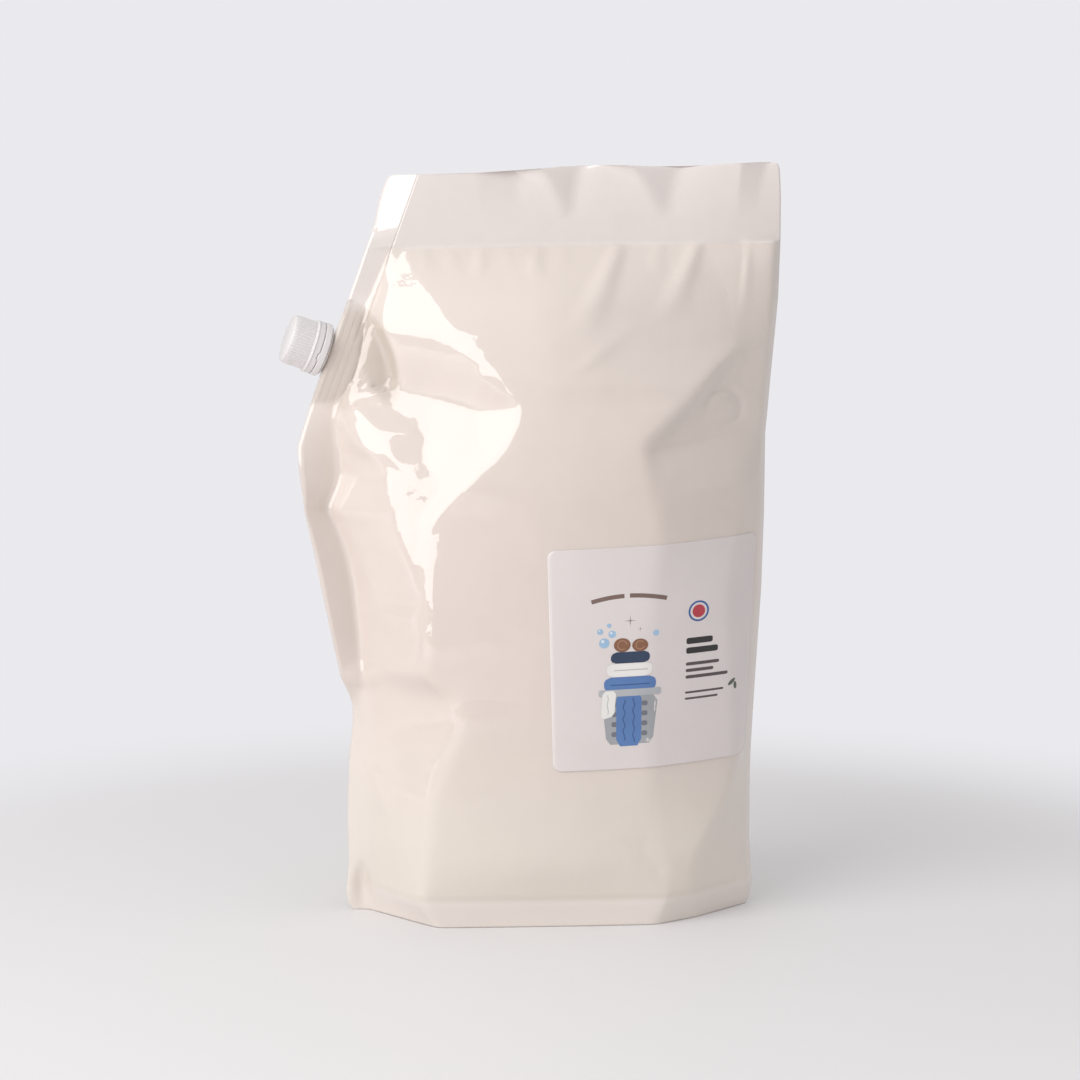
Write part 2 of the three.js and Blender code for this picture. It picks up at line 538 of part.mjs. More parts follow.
// Closed pointed oval of the boat, larger or smaller by grow, from low to high along the axis
function boatSlab(grow, low, high) {
  const points = [];
  const steps = 10;
  for (let k = 0; k <= steps; k += 1) {
    const v = -Math.cos(Math.PI * k / steps) * BOAT_LENGTH / 2;
    points.push(new THREE.Vector2(Math.max(boatHalf(v), 0.9) + grow, v * (1 + 2 * grow / BOAT_LENGTH)));
  }
  const shape = new THREE.Shape([...points, ...points.map((p) => new THREE.Vector2(-p.x, p.y)).reverse()]);
  const slab = new THREE.ExtrudeGeometry(shape, { depth: high - low, bevelEnabled: false });
  return slab.translate(0, 0, low);
}

// Turned piece from a closed profile of [radius, height]
function turned(profile, segments = TURNED_SIDES) {
  const lathe = new THREE.LatheGeometry(profile.map(([r, h]) => new THREE.Vector2(r, h)), segments);
  return lathe.rotateX(Math.PI / 2);
}

function makeSpout() {
  let body = toSolid(boatSlab(-BOAT_RIB_OUT, -BOAT_DEPTH, 0));
  for (let k = 0; k < BOAT_RIBS; k += 1) {
    const low = -BOAT_DEPTH + k * (BOAT_DEPTH - BOAT_RIB_THICK) / (BOAT_RIBS - 1);
    body = body.add(toSolid(boatSlab(0, low, low + BOAT_RIB_THICK)));
  }
  const neck = turned([
    [0, -1], [NECK_FOOT_R, -1], [NECK_FOOT_R, FLANGE_LOW], [FLANGE_R, FLANGE_LOW],
    [FLANGE_R, FLANGE_HIGH], [NECK_R, FLANGE_HIGH], [NECK_R, BEAD_LOW], [BEAD_R, BEAD_LOW],
    [BEAD_R, BEAD_HIGH - 0.5], [NECK_R, BEAD_HIGH], [NECK_R, NECK_TOP], [0, NECK_TOP],
  ]);
  const bore = turned([
    [0, -BOAT_DEPTH - 1], [BOAT_BORE_R, -BOAT_DEPTH - 1], [BOAT_BORE_R, 0], [BORE_R, FLANGE_HIGH + 1],
    [BORE_R, NECK_TOP + 1], [0, NECK_TOP + 1],
  ]);
  return body.add(toSolid(neck)).subtract(toSolid(bore));
}

function makeBand() {
  return toSolid(turned([
    [BAND_LIP_R, BAND_LOW], [BAND_R, BAND_LOW], [BAND_R, BAND_HIGH], [CAP_BORE_R, BAND_HIGH],
    [CAP_BORE_R, BEAD_LOW - FIT_GAP], [BAND_LIP_R, BEAD_LOW - FIT_GAP], [BAND_LIP_R, BAND_LOW],
  ]));
}

function makeCap() {
  const ribbed = new THREE.Shape();
  const pitch = 2 * Math.PI / CAP_RIBS;
  for (let k = 0; k < CAP_RIBS; k += 1) {
    for (const [turn, out] of [[0, 0], [0.4, RIB_OUT], [0.7, RIB_OUT]]) {
      const angle = (k + turn) * pitch;
      const x = (CAP_R + out) * Math.cos(angle);
      const y = (CAP_R + out) * Math.sin(angle);
      if (k + turn === 0) ribbed.moveTo(x, y);
      else ribbed.lineTo(x, y);
    }
  }
  const skirt = new THREE.ExtrudeGeometry(ribbed, { depth: CAP_TOP - COLLAR_HIGH, bevelEnabled: false });
  skirt.translate(0, 0, COLLAR_HIGH);
  const envelope = turned([
    [0, CAP_LOW], [COLLAR_R + 1, CAP_LOW], [COLLAR_R + 1, CAP_TOP - 2.4], [CAP_R + RIB_OUT, CAP_TOP - 1.2],
    [CAP_R - 0.7, CAP_TOP], [CAP_R - 3, CAP_TOP + 0.55], [CAP_R - 7, CAP_TOP + CAP_DOME],
    [0, CAP_TOP + CAP_DOME + 0.1],
  ]);
  const core = turned([
    [0, CAP_LOW], [COLLAR_R, CAP_LOW], [COLLAR_R, COLLAR_HIGH - 0.9], [COLLAR_R + 0.25, COLLAR_HIGH - 0.5],
    [COLLAR_R, COLLAR_HIGH], [CAP_R + RIB_OUT, COLLAR_HIGH + 0.4], [CAP_R, COLLAR_HIGH + 0.8],
    [CAP_R, CAP_TOP - 0.6], [CAP_R - 0.8, CAP_TOP], [CAP_R - 3, CAP_TOP + 0.5],
    [CAP_R - 7, CAP_TOP + CAP_DOME], [0, CAP_TOP + CAP_DOME + 0.1],
  ]);
  const ceiling = NECK_TOP + LINER_THICK + 2 * FIT_GAP;
  const bore = turned([[0, 0], [CAP_BORE_R, 0], [CAP_BORE_R, ceiling], [0, ceiling]]);
  return toSolid(skirt).intersect(toSolid(envelope)).add(toSolid(core)).subtract(toSolid(bore));
}

function makeLiner() {
  const low = NECK_TOP + FIT_GAP;
  const high = low + LINER_THICK;
  return toSolid(turned([[0, low], [LINER_R, low], [LINER_R, high], [0, high]], LINER_SIDES));
}

// The label lies on the front film: corners of its outline, round by LABEL_CORNER
const LABEL_OUTLINE = [[-2, 83], [103, 85], [109, 200], [-5, 196.5]];
const LABEL_CORNER = 3;
const LABEL_GAP = 0.3;
const LABEL_THICK = 0.4;

function roundedOutline(corners, radius) {
  const shape = new THREE.Shape();
  corners.forEach((corner, k) => {
    const here = new THREE.Vector2(...corner);
    const last = new THREE.Vector2(...corners[(k + 3) % 4]);
    const next = new THREE.Vector2(...corners[(k + 1) % 4]);
    const from = here.clone().add(last.sub(here).setLength(radius));
    const to = here.clone().add(next.sub(here).setLength(radius));
    if (k === 0) shape.moveTo(from.x, from.y);
    else shape.lineTo(from.x, from.y);
    shape.quadraticCurveTo(here.x, here.y, to.x, to.y);
  });
  shape.closePath();
  return shape;
}

// Film points pushed off along the film's own normal
function pushedOff(rows, distance) {
  return rows.map((row, j) => row.map((p, i) => {
    const right = row[Math.min(i + 1, row.length - 1)].clone().sub(row[Math.max(i - 1, 0)]);
    const up = rows[Math.min(j + 1, rows.length - 1)][i].clone().sub(rows[Math.max(j - 1, 0)][i]);
    return p.clone().addScaledVector(right.cross(up).normalize(), distance);
  }));
}

function makeLabel(film) {
  const inner = pushedOff(film, LABEL_GAP);
  const outer = pushedOff(film, LABEL_GAP + LABEL_THICK);
  const shell = toSolid(closedSheet(outer, inner));
  const furthest = Math.max(...outer.flat().map((p) => -p.y));
  const prism = new THREE.ExtrudeGeometry(roundedOutline(LABEL_OUTLINE, LABEL_CORNER), {
    depth: furthest + LABEL_THICK,
    bevelEnabled: false,
    curveSegments: 4,
  });
  prism.rotateX(Math.PI / 2);
  return shell.intersect(toSolid(prism));
}

const part = new THREE.Group();
function add(name, solid, material, parent = part) {
  const mesh = new THREE.Mesh(toGeometry(solid), material);
  mesh.name = name;
  parent.add(mesh);
}

const pocket = toSolid(boatSlab(FIT_GAP, -BOAT_DEPTH - FIT_GAP, 4).applyMatrix4(spoutFrame));
const frontFilm = rowHeights().map((z) => filmRow(1, FRONT_FOLDS, FRONT_ROUND, FRONT_COLUMNS, z));
const backFilm = rowHeights().map((z) => filmRow(-1, BACK_FOLDS, BACK_ROUND, BACK_COLUMNS, z));
add('pouch', toSolid(makePouch(frontFilm, backFilm)).subtract(pocket), MATERIALS.film);
add('label', makeLabel(frontFilm), MATERIALS.label);

const spoutGroup = new THREE.Group();
spoutGroup.applyMatrix4(spoutFrame);
part.add(spoutGroup);
add('spout', makeSpout(), MATERIALS.plastic, spoutGroup);
add('tamper_band', makeBand(), MATERIALS.plastic, spoutGroup);
add('cap_liner', makeLiner(), MATERIALS.plastic, spoutGroup);
add('cap', makeCap(), MATERIALS.plastic, spoutGroup);

export default part;
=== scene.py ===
"""A filled stand-up refill pouch with a welded side spout, dressed for the picture.

The film is described in millimetres, as it is measured, and turned into metres when a mesh is made.
"""

import math

import bpy
import numpy as np
from mathutils import Matrix, Vector


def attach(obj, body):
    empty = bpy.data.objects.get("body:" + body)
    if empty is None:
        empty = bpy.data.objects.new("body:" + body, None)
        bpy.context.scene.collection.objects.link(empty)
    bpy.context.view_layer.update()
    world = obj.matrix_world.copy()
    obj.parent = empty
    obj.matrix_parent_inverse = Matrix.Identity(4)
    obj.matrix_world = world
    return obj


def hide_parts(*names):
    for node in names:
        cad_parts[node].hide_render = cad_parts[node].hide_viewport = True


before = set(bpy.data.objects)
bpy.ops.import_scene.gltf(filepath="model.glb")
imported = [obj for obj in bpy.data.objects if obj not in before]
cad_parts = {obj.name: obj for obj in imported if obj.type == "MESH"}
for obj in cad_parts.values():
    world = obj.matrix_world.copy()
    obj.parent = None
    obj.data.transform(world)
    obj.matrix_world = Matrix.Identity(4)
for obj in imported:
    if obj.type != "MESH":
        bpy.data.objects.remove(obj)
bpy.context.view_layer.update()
MM = 0.001

# The pouch's named sizes, in millimetres
SEAL_Z = 348
SEAL_RISE = 0.018
HEADER_LOW = 361
HEADER_TOP = 388
SKIRT_Z = 14
SKIRT_GROOVE = 0.6
GROOVE_WIDTH = 1.6
SWELL = 0.035
SWELL_SPAN = 100
SWELL_FADE = 30
RISE_FROM = 300
FIN_HALF = 0.5
FIN_WIDTH = 4
FRONT_FIN_OUT = 4.5
BACK_FIN_OUT = 2
GUSSET_LIFT = 5
CORNER_LIFT = 16

# The spout and cap, along the spout's axis from the film's slanted edge
SLANT_LOW = np.array([-124.2, 267])
SLANT_HIGH = np.array([-82.2, 383])
SPOUT_UP = 29.3
SPOUT_SWING = 9
BOAT_LENGTH = 52
BOAT_HALF = 8.2
BOAT_DEPTH = 13
BOAT_BORE_R = 6.4
FILM_OVER_BOAT = 1.3
WELD_FADE = 12
# how strongly the boat's ribs show, in bump and in painted shade
WELD_RIB = 0.35
WELD_RIB_PITCH = 3.6

# The thin line inside the slanted seal, and how far the header leans back outside it
SEAL_LINE = 12.6
SEAL_LINE_WIDTH = 1.1
SEAL_LINE_FROM = 308
STRIP_LEAN = 4.6

# Patch of painted shade over the bulge of film inside the weld: place, half sizes and direction cosines
# of its turn
BULGE_X = -90
BULGE_Z = 293
BULGE_HALF_WIDE = 10
BULGE_HALF_TALL = 27
BULGE_TURN = (0.95, 0.3)

BORE_R = 8.2
NECK_R = 10
NECK_FOOT_R = 7.6
NECK_TOP = 19.6
FLANGE_R = 12.4
FLANGE_LOW = 1.9
FLANGE_HIGH = 2.7
BEAD_R = 11.2
BEAD_LOW = 4.5
BEAD_HIGH = 5.6
BAND_LOW = 3.0
BAND_SHELF = 4.2
BAND_HIGH = 6.35
BAND_R = 14
BAND_LIP_R = 10.6
CAP_LOW = 6.6
COLLAR_R = 13.75
COLLAR_HIGH = 10.7
CAP_R = 12.4
CAP_TOP = 23.1
CAP_DOME = 0.8
CAP_BORE_R = 11.5
CAP_CEILING = 21.4
CAP_RIBS = 48
RIB_OUT = 0.45

# Outlines of the standing pouch: [z, x]
LEFT_EDGE = [
    [0, -104], [4, -106.5], [10, -107.5], [26, -105.8], [48, -106.5], [79, -105.6], [100, -103.3],
    [110, -103.4], [116, -105], [126, -109.5], [161, -116.8], [189, -122.3], [212, -127.3],
    [233, -130], [246, -130.9], [267, -124.2], [383, -82.2], [386, -79.5], [388, -74.4],
]
RIGHT_EDGE = [
    [0, 105], [4, 107], [12, 108.5], [34, 107.2], [81, 107.9], [115, 109.8], [168, 113.1],
    [208, 114.3], [250, 114.7], [280, 117.1], [320, 120.7], [345, 121.4], [365, 121.1], [378, 120.2],
    [384, 119], [388, 114],
]

# Top edge of the header: [x, z]
TOP_EDGE = [
    [-75, 385.4], [-38, 386.4], [-12, 388], [6, 389.8], [31, 390.6], [51, 390],
    [68, 389.5], [84, 390.6], [110, 392.1],
]

# Forward lean of the two side seams: [z, out]
RIGHT_SEAM_OUT = [[0, 0], [20, -2], [60, -4], [250, -4], [320, -2], [348, 0], [391, 0]]
FLAP_EDGE_OUT = [
    [0, 0], [60, 0], [104, 1], [112, 3], [119, 8], [130, 12], [150, 14], [215, 14], [240, 12],
    [252, 8.5], [267, 3.5], [300, 2.5], [348, 0.5], [391, 0],
]

# The whole right side curls backwards from CURL_START to its edge: [z, reach]
RIGHT_CURL = [[0, 0], [20, 1], [60, 4], [120, 5], [300, 6], [348, 6], [370, 4], [391, 2]]
CURL_START = 66

# Fold lines of the front film: [z, x, out], out being the distance forward of the mid-plane
FRONT_FOLDS = [
    # inner line of the left seal and flap, a valley
    [[0, -95, 1.5], [14, -97, 3], [30, -98, 6], [60, -98, 9], [98, -97, 10], [114, -98, 10],
     [126, -98, 10], [160, -101, 8], [177, -103, 7], [192, -106, 6], [204, -111, 5.5], [213, -117, 5],
     [221, -113, 5], [230, -109, 5], [246, -110, 5], [261, -112, 5], [276, -106.5, 6.5],
     [290, -102, 8], [300, -98.5, 8], [308, -96.5, 6.5], [316, -93.5, 4], [324, -90.7, 1.5],
     [340, -85.5, 1], [348, -83, 0.5]],
    # near edge of the rounded ridge that starts under the spout
    [[0, -81, 19.4], [14, -86.2, 20.7], [43, -85.6, 24.1], [67, -84.7, 25.6], [89, -81.5, 26.4],
     [104, -78.8, 26.7], [113, -78.8, 26.7], [120, -80, 26.1], [131, -86.3, 24.1], [143, -71.5, 40.6],
     [162, -75, 38.8], [166, -70.6, 41.6], [174, -72.5, 41], [181, -74, 40.1], [189, -77, 38.4],
     [197, -80.5, 36], [206, -82, 34.6], [214, -83.5, 33.6], [221, -84.5, 32.6], [227, -85, 31.9],
     [232, -85, 31.2], [239, -89, 28.5], [248, -99.5, 22.2], [264, -107, 13], [272, -104, 10.5],
     [281, -101, 10.5], [290, -97.5, 10.5], [300, -94.5, 10.5], [308, -94, 10], [316, -92, 8],
     [340, -82, 3], [348, -80, 0.5]],
    # far edge of that ridge
    [[0, -73.3, 29], [14, -80.3, 30.2], [43, -78.8, 33], [67, -77.5, 34.4], [89, -72.9, 35.2],
     [104, -68.6, 35.6], [113, -68.2, 35.6], [120, -70.1, 34.7], [131, -79.6, 31.8],
     [143, -70.5, 41.5], [162, -72.5, 40.2], [166, -69.9, 42.1], [174, -71, 41.8], [189, -73.5, 40.2],
     [197, -76, 38.7], [206, -76.5, 37.4], [214, -77, 36.2], [221, -75, 36.1], [226, -71, 37.2],
     [229, -70.5, 37.3], [235.6, -73.6, 35.8], [239, -80.5, 33], [247, -86, 29.8], [256, -91, 25.4],
     [261, -98, 20.5], [265.6, -101, 17.5], [269, -99, 14], [274, -88, 12.5], [281, -82.5, 12.5],
     [290, -84, 12.5], [300, -87.5, 12], [308, -90.5, 11.5], [316, -90.5, 9.5], [328, -86, 6.3],
     [340, -80, 3.2], [348, -78.5, 0.5]],
    # valley between that ridge and the shoulder, which runs up beside the spout's weld
    [[0, -66.3, 37.5], [14, -74.9, 38.6], [43, -72.6, 40.2], [67, -70.9, 40.8], [89, -65.1, 43],
     [104, -59.3, 44.2], [113, -58.6, 44], [120, -61.1, 42.3], [131, -73.5, 38.5], [143, -69.5, 42.4],
     [162, -70, 41.6], [174, -69.2, 42.8], [189, -70, 41.5], [197, -70.5, 40.4], [206, -70, 39.5],
     [214, -68, 39], [221, -64, 39.8], [227, -58, 41.6], [236, -63, 37], [242.5, -65.7, 33.7],
     [254.6, -69, 29], [260, -74.4, 25.1], [265.3, -81, 20.6], [268, -86, 18], [273, -81, 19],
     [281, -77.5, 20.3], [290, -79.5, 20], [300, -83.5, 18.3], [308, -87, 16.8], [316, -86.5, 13.5],
     [328, -83, 8.5], [340, -78, 3.5], [348, -77, 0.5]],
    # left shoulder, the main ridge
    [[0, -60, 45], [14, -70, 46], [43, -67, 46.4], [67, -65, 46.6], [89, -58, 49.4], [104, -51, 51.7],
     [113, -50, 51.5], [120, -53, 49.6], [131, -66, 47.3], [141, -67, 48.2], [150, -67.5, 47.8],
     [172, -66, 45.9], [191, -64.5, 44.2], [203, -63, 43.1], [212, -60, 43.8], [221, -51.5, 46.2],
     [227, -46.5, 47.8], [234, -39, 48.2], [241, -30, 48.6], [249, -23, 48.5], [260, -18.5, 47.5],
     [270, -18, 46], [277, -22, 44.5], [285, -28, 42.4], [295, -38, 38], [306, -48, 31.5],
     [316, -55, 24], [325, -61, 17.5], [338, -71, 7], [348, -74, 0.5]],
    # middle of the front
    [[0, -2, 46], [14, -2, 46.5], [30, -2, 49], [100, -2, 52], [150, -2, 51.5], [200, -2, 50.5],
     [250, 8, 49.5], [280, 8, 44], [300, 6, 36.5], [320, 2, 26], [336, 0, 13.5], [344, 0, 6],
     [348, 0, 0.5]],
    # ridge that runs from the right bottom corner up to the dent under the right shoulder
    [[0, 52, 45.5], [14, 58, 46], [40, 54, 48.5], [80, 49, 50.5], [149, 47, 50.5], [190, 52, 49],
     [203, 54, 48], [214, 52, 48.5], [226, 48, 49], [242, 44.5, 49], [249, 43, 48.5], [254, 48, 47],
     [264, 59, 43], [279, 75, 33.5], [291, 88, 23], [298, 95, 16.5], [320, 93, 10], [336, 86, 6],
     [348, 80, 0.5]],
    # right shoulder
    [[0, 76, 29], [15, 72, 38], [38, 75, 42], [55, 85, 36], [67, 92, 30], [82, 97, 25], [110, 96, 27],
     [146, 93, 30], [168, 91, 31], [190, 95, 25], [209, 101, 17], [228, 99, 18], [254, 97, 15],
     [279, 100, 12], [298, 103, 11], [320, 103, 8], [336, 102, 5], [348, 100, 0.5]],
]

# Half width over which each fold is rounded, and how the shoulder's changes: [z, half width]
FRONT_ROUND = [2, 3, 3, 2, 3, 26, 4, 6]
SHOULDER = 4
SHOULDER_ROUND = [[0, 5], [60, 5], [75, 8], [100, 9], [122, 7], [140, 2.5], [391, 2.5]]

# A line rounded as widely as this only guides the film and breaks no swell
WIDE_ROUND = 14
FRONT_COLUMNS = [6, 12, 8, 10, 30, 26, 26, 20, 8, 4]

# Fold lines of the back film: [z, x, out], out being the distance backward
BACK_FOLDS = [
    [[0, -95, 1.5], [14, -97, 3], [60, -98, 8], [112, -96, 8], [160, -103, 6], [214, -113, 4],
     [262, -112, 4], [321, -89.5, 5], [340, -83.5, 2.5], [348, -80.5, 0.5]],
    [[0, -76, 27], [14, -80, 30], [60, -82, 31], [112, -80, 34], [160, -82, 34], [214, -88, 25],
     [262, -86, 20], [300, -80, 17], [321, -72, 12], [340, -70, 4.5], [348, -70, 0.5]],
    [[0, -58, 45], [14, -62, 46], [60, -62, 49], [112, -55, 50], [160, -60, 49], [214, -46, 47],
     [262, -40, 42], [300, -46, 31], [321, -44, 20], [340, -42, 6], [348, -42, 0.5]],
    [[0, 0, 46], [14, 0, 46.5], [60, 0, 50.5], [150, 0, 51.5], [214, 0, 49.5], [262, 0, 45],
     [300, 0, 34.5], [321, 0, 24], [336, 0, 13], [344, 0, 6], [348, 0, 0.5]],
    [[0, 54, 45], [14, 60, 46], [60, 60, 49.5], [112, 58, 50], [160, 55, 49], [214, 62, 43],
     [262, 56, 41], [300, 62, 28], [321, 60, 18], [340, 60, 6], [348, 60, 0.5]],
    [[0, 78, 27], [14, 80, 30], [60, 88, 28], [112, 90, 29], [160, 92, 27], [214, 95, 22],
     [262, 97, 17], [300, 98, 13], [321, 99, 9], [340, 98, 4], [348, 98, 0.5]],
]
BACK_ROUND = [3, 5, 6, 26, 8, 6]
BACK_COLUMNS = [8, 24, 24, 31, 31, 20, 8, 4]

# Smaller folds: [x, z, height, reach on its left, reach on its right], as walked from the first row
FRONT_CREASES = [
    # valley that runs to the point of the left shoulder
    [[-82, 275, -3, 34, 8], [-68, 272, -5.5, 34, 16], [-60, 270, -6, 32, 24], [-40, 265.5, -5, 21, 26],
     [-28, 267, -3, 10, 16], [-18, 269, 0, 3, 5]],
    # steep side of the dent below the right shoulder
    [[46, 246, 0, 3, 3], [52, 246, -1.6, 7, 14], [75, 266, -2.6, 9, 20], [92, 284, -1.6, 8, 14],
     [98, 292, 0, 4, 6]],
    # valley across the dent
    [[46, 243, 0, 3, 3], [62, 247, -2.5, 14, 22], [80, 250, -3, 18, 26], [97, 253, -2, 20, 26]],
    # oval crease in the dent
    [[80, 262, 0, 3, 3], [79, 269, -1.6, 3.5, 3], [84, 275, -2, 3.5, 3], [92, 275, -2, 3.5, 3],
     [99, 268, -2, 3.5, 3], [98, 261, -1.8, 3.5, 3], [90, 257, -1.2, 3.5, 3], [82, 259, 0, 3, 3]],
    # thin fold beside the dent
    [[50, 250, 0, 2, 2], [58, 258, 0.8, 3, 2.5], [72, 272, 0.9, 3, 2.5], [86, 286, 0, 2, 2]],
    # long faint diagonal crease above the middle
    [[47, 314, 0, 4, 4], [20, 293, 0.9, 5, 5], [2, 281, 0, 4, 4]],
    # soft crease down the left slope
    [[-112, 207, 0, 4, 4], [-106, 202, 1, 7, 7], [-98, 186, 1.2, 8, 8], [-87, 160, 0.8, 7, 7],
     [-83, 148, 0, 4, 4]],
    # arc near the right end of the foot
    [[26, 47, 0, 5, 5], [44, 40, -1.2, 9, 7], [53, 30, -1.2, 8, 7], [58, 17, 0, 4, 4]],
    # dimple on the lower left
    [[-94, 84, 0, 3, 3], [-93, 76, 1, 6, 5], [-88, 60, 1, 6, 5], [-83, 50, 0, 4, 4]],
]
BACK_CREASES = [
    # long soft creases of the back, from its upper corners towards the middle
    [[-70, 318, 0, 8, 8], [-40, 285, -3, 16, 16], [-10, 250, -3, 20, 18], [18, 215, 0, 12, 12]],
    [[86, 316, 0, 8, 8], [62, 280, 2.4, 14, 14], [40, 240, 1.8, 14, 14], [30, 205, 0, 10, 10]],
    [[-84, 150, 0, 8, 8], [-62, 128, -2.6, 14, 16], [-46, 104, 0, 8, 8]],
    [[88, 120, 0, 8, 8], [66, 100, -2.4, 12, 16], [52, 70, 0, 8, 8]],
]

# Soft folds that hang from the top seal: [x, length, height, lean, half width]
FRONT_PUCKERS = [
    [-66, 14, 1, 3, 3], [-52, 16, 0.8, 3, 4], [-35, 17, 1.5, -3, 4.5], [-22, 13, 0.7, 0, 3],
    [-7, 18, 2, -2, 4], [8, 16, 0.9, -4, 4], [36, 46, 3.2, -22, 9], [57, 18, 1, -4, 4],
    [77, 40, 3, -18, 8], [104, 40, 1, -3, 4],
]
BACK_PUCKERS = [
    [-60, 18, 1.6, 3, 4], [-8, 20, 1.8, 3, 4], [24, 30, 2.6, -8, 7], [52, 20, 1.8, 4, 4],
    [84, 30, 2.4, -6, 6],
]

# Rounded bumps and dents: [x, z, half width, half height, turn in degrees, height]
FRONT_BUMPS = [
    # bulge of film inside the spout's weld, wider at its lower end
    [-92, 286, 10, 17, 14, 1.2],
    # rounded end of the leaning flap
    [-98, 127, 12, 8, 0, 1.5],
    # tack spots at the two bottom corners
    [-99, 14, 5, 14, 0, -2.2],
    [103, 22, 5, 12, 0, -2.2],
]

# Folds of the loose header: [x at its top edge, x at its lower edge, out at the top edge]
HEADER_FOLDS = [
    [-82, -90, 0], [-70.7, -78.6, 0.4], [-60, -62, 1.8], [-38, -36, 2.4], [-20, -14, -1.4], [-8, 8, 4],
    [18, 11.5, -4], [38, 58, 4], [69, 62, -4], [100, 98, 3], [115, 108, -2], [122, 122, 0],
]


# The film's shape

def at(rows, z, column):
    """One column of a list of rows, read off at a height"""
    rows = np.asarray(rows, float)
    return np.interp(z, rows[:, 0], rows[:, column])


def soft(rows, z, column):
    return (at(rows, z - 3, column) + 2 * at(rows, z, column) + at(rows, z + 3, column)) / 4


def smooth(x, a, b):
    """0 below a, 1 above b, and a soft step between them"""
    t = np.clip((x - a) / (b - a), 0, 1)
    return t * t * (3 - 2 * t)


def seal_line(x):
    return SEAL_Z + SEAL_RISE * (x - at(LEFT_EDGE, SEAL_Z, 1))


def crease_height(rows, x, z):
    """Height of a fold along a chain of points, sloping off on each side over its own reach"""
    best = np.full(x.shape, np.inf)
    height = np.zeros(x.shape)
    for (ax, az, ah, al, ar), (bx, bz, bh, bl, br) in zip(rows, rows[1:]):
        ux, uz = bx - ax, bz - az
        t = np.clip(((x - ax) * ux + (z - az) * uz) / (ux * ux + uz * uz), 0, 1)
        px, pz = x - ax - t * ux, z - az - t * uz
        gap = np.hypot(px, pz)
        reach = np.where(ux * pz - uz * px > 0, al + (bl - al) * t, ar + (br - ar) * t)
        here = (ah + (bh - ah) * t) * np.maximum(0, 1 - gap / reach)
        height = np.where(gap < best, here, height)
        best = np.minimum(gap, best)
    return height


def pucker_height(row, x, z):
    px, length, height, lean, width = row
    down = np.clip((seal_line(px) - z) / length, 0, 1)
    across = np.clip((x - px - lean * down) / (width * (0.5 + down)), -1, 1)
    return height * (1 - across ** 2) ** 2 * np.sin(np.pi * np.sqrt(down))


def bump_height(row, x, z):
    cx, cz, rx, rz, turn, height = row
    c, s = math.cos(math.radians(turn)), math.sin(math.radians(turn))
    r = np.hypot(((x - cx) * c + (z - cz) * s) / rx, ((z - cz) * c - (x - cx) * s) / rz)
    return height * np.maximum(0, 1 - r * r) ** 1.3


SLANT = (SLANT_HIGH - SLANT_LOW) / np.linalg.norm(SLANT_HIGH - SLANT_LOW)
SPOUT_FOOT = SLANT_LOW + SLANT * SPOUT_UP
EDGE_LEAN = float(at(FLAP_EDGE_OUT, SPOUT_FOOT[1], 1))


def boat_half(v):
    """Half thickness of the spout's boat-shaped base, v being the distance from its middle"""
    return BOAT_HALF * np.clip(1 - (2 * v / BOAT_LENGTH) ** 2, 0, 1) ** 0.8


def along_weld(x, z):
    """Distances up the slanted edge from the spout's axis, and in from that edge"""
    vx, vz = x - SLANT_LOW[0], z - SLANT_LOW[1]
    return vx * SLANT[0] + vz * SLANT[1] - SPOUT_UP, vx * SLANT[1] - vz * SLANT[0]


def weld_at(x, z):
    """Half thickness of the films over the boat, their lean to the front, and where they count"""
    along, inside = along_weld(x, z)
    fade = 1 - smooth(inside, BOAT_DEPTH + 1, BOAT_DEPTH + WELD_FADE)
    half = (boat_half(along * 0.93) + FILM_OVER_BOAT) * fade
    near = np.where(np.abs(along) < BOAT_LENGTH / 2 + 2, fade, 0)
    lean = (EDGE_LEAN - inside * math.tan(math.radians(SPOUT_SWING))) * near
    return half, lean, near


def profile(stations, x):
    """Out along a row of fold points, each rounded over its own half width"""
    xs, outs, widths = np.array(stations).T
    width = np.interp(x, xs, widths)
    total, weights = 0, 0
    for k in np.linspace(-1, 1, 11):
        weight = 1.1 - abs(k)
        total = total + weight * np.interp(x + k * width, xs, outs)
        weights += weight
    return total / weights


def swell_at(stations, x):
    """The filled film swells a little between its folds, most over the widest stretch"""
    folds = np.array([s[0] for s in stations if s[2] < WIDE_ROUND])
    k = np.clip(np.searchsorted(folds, x), 1, len(folds) - 1)
    span = folds[k] - folds[k - 1]
    t = np.clip((x - folds[k - 1]) / np.maximum(span, 1e-6), 0, 1)
    share = np.where((k > 1) & (k < len(folds) - 1), np.clip(span / SWELL_SPAN, 0.1, 1) * SWELL, 0)
    return share * span * 4 * t * (1 - t)


def film_out(side, stations, x, z):
    """Out along one row of the film below the seal, with all its folds"""
    filled = smooth(seal_line(x) - z, 0, SWELL_FADE) * smooth(z, 4, 40)
    out = profile(stations, x) + swell_at(stations, x) * filled
    for row in FRONT_PUCKERS if side > 0 else BACK_PUCKERS:
        out = out + pucker_height(row, x, z)
    for rows in FRONT_CREASES if side > 0 else BACK_CREASES:
        out = out + crease_height(rows, x, z)
    if side > 0:
        bulges = [bump_height(row, x, z) for row in FRONT_BUMPS]
        out = out + np.maximum.reduce(bulges) + np.minimum.reduce(bulges)
    groove = SKIRT_GROOVE * np.exp(-((z - SKIRT_Z) / GROOVE_WIDTH) ** 2)
    out = out - groove * smooth(out, 6, 20)
    half, lean, near = weld_at(x, z)
    return np.where(near > 0, np.maximum(out, half + side * lean), out)


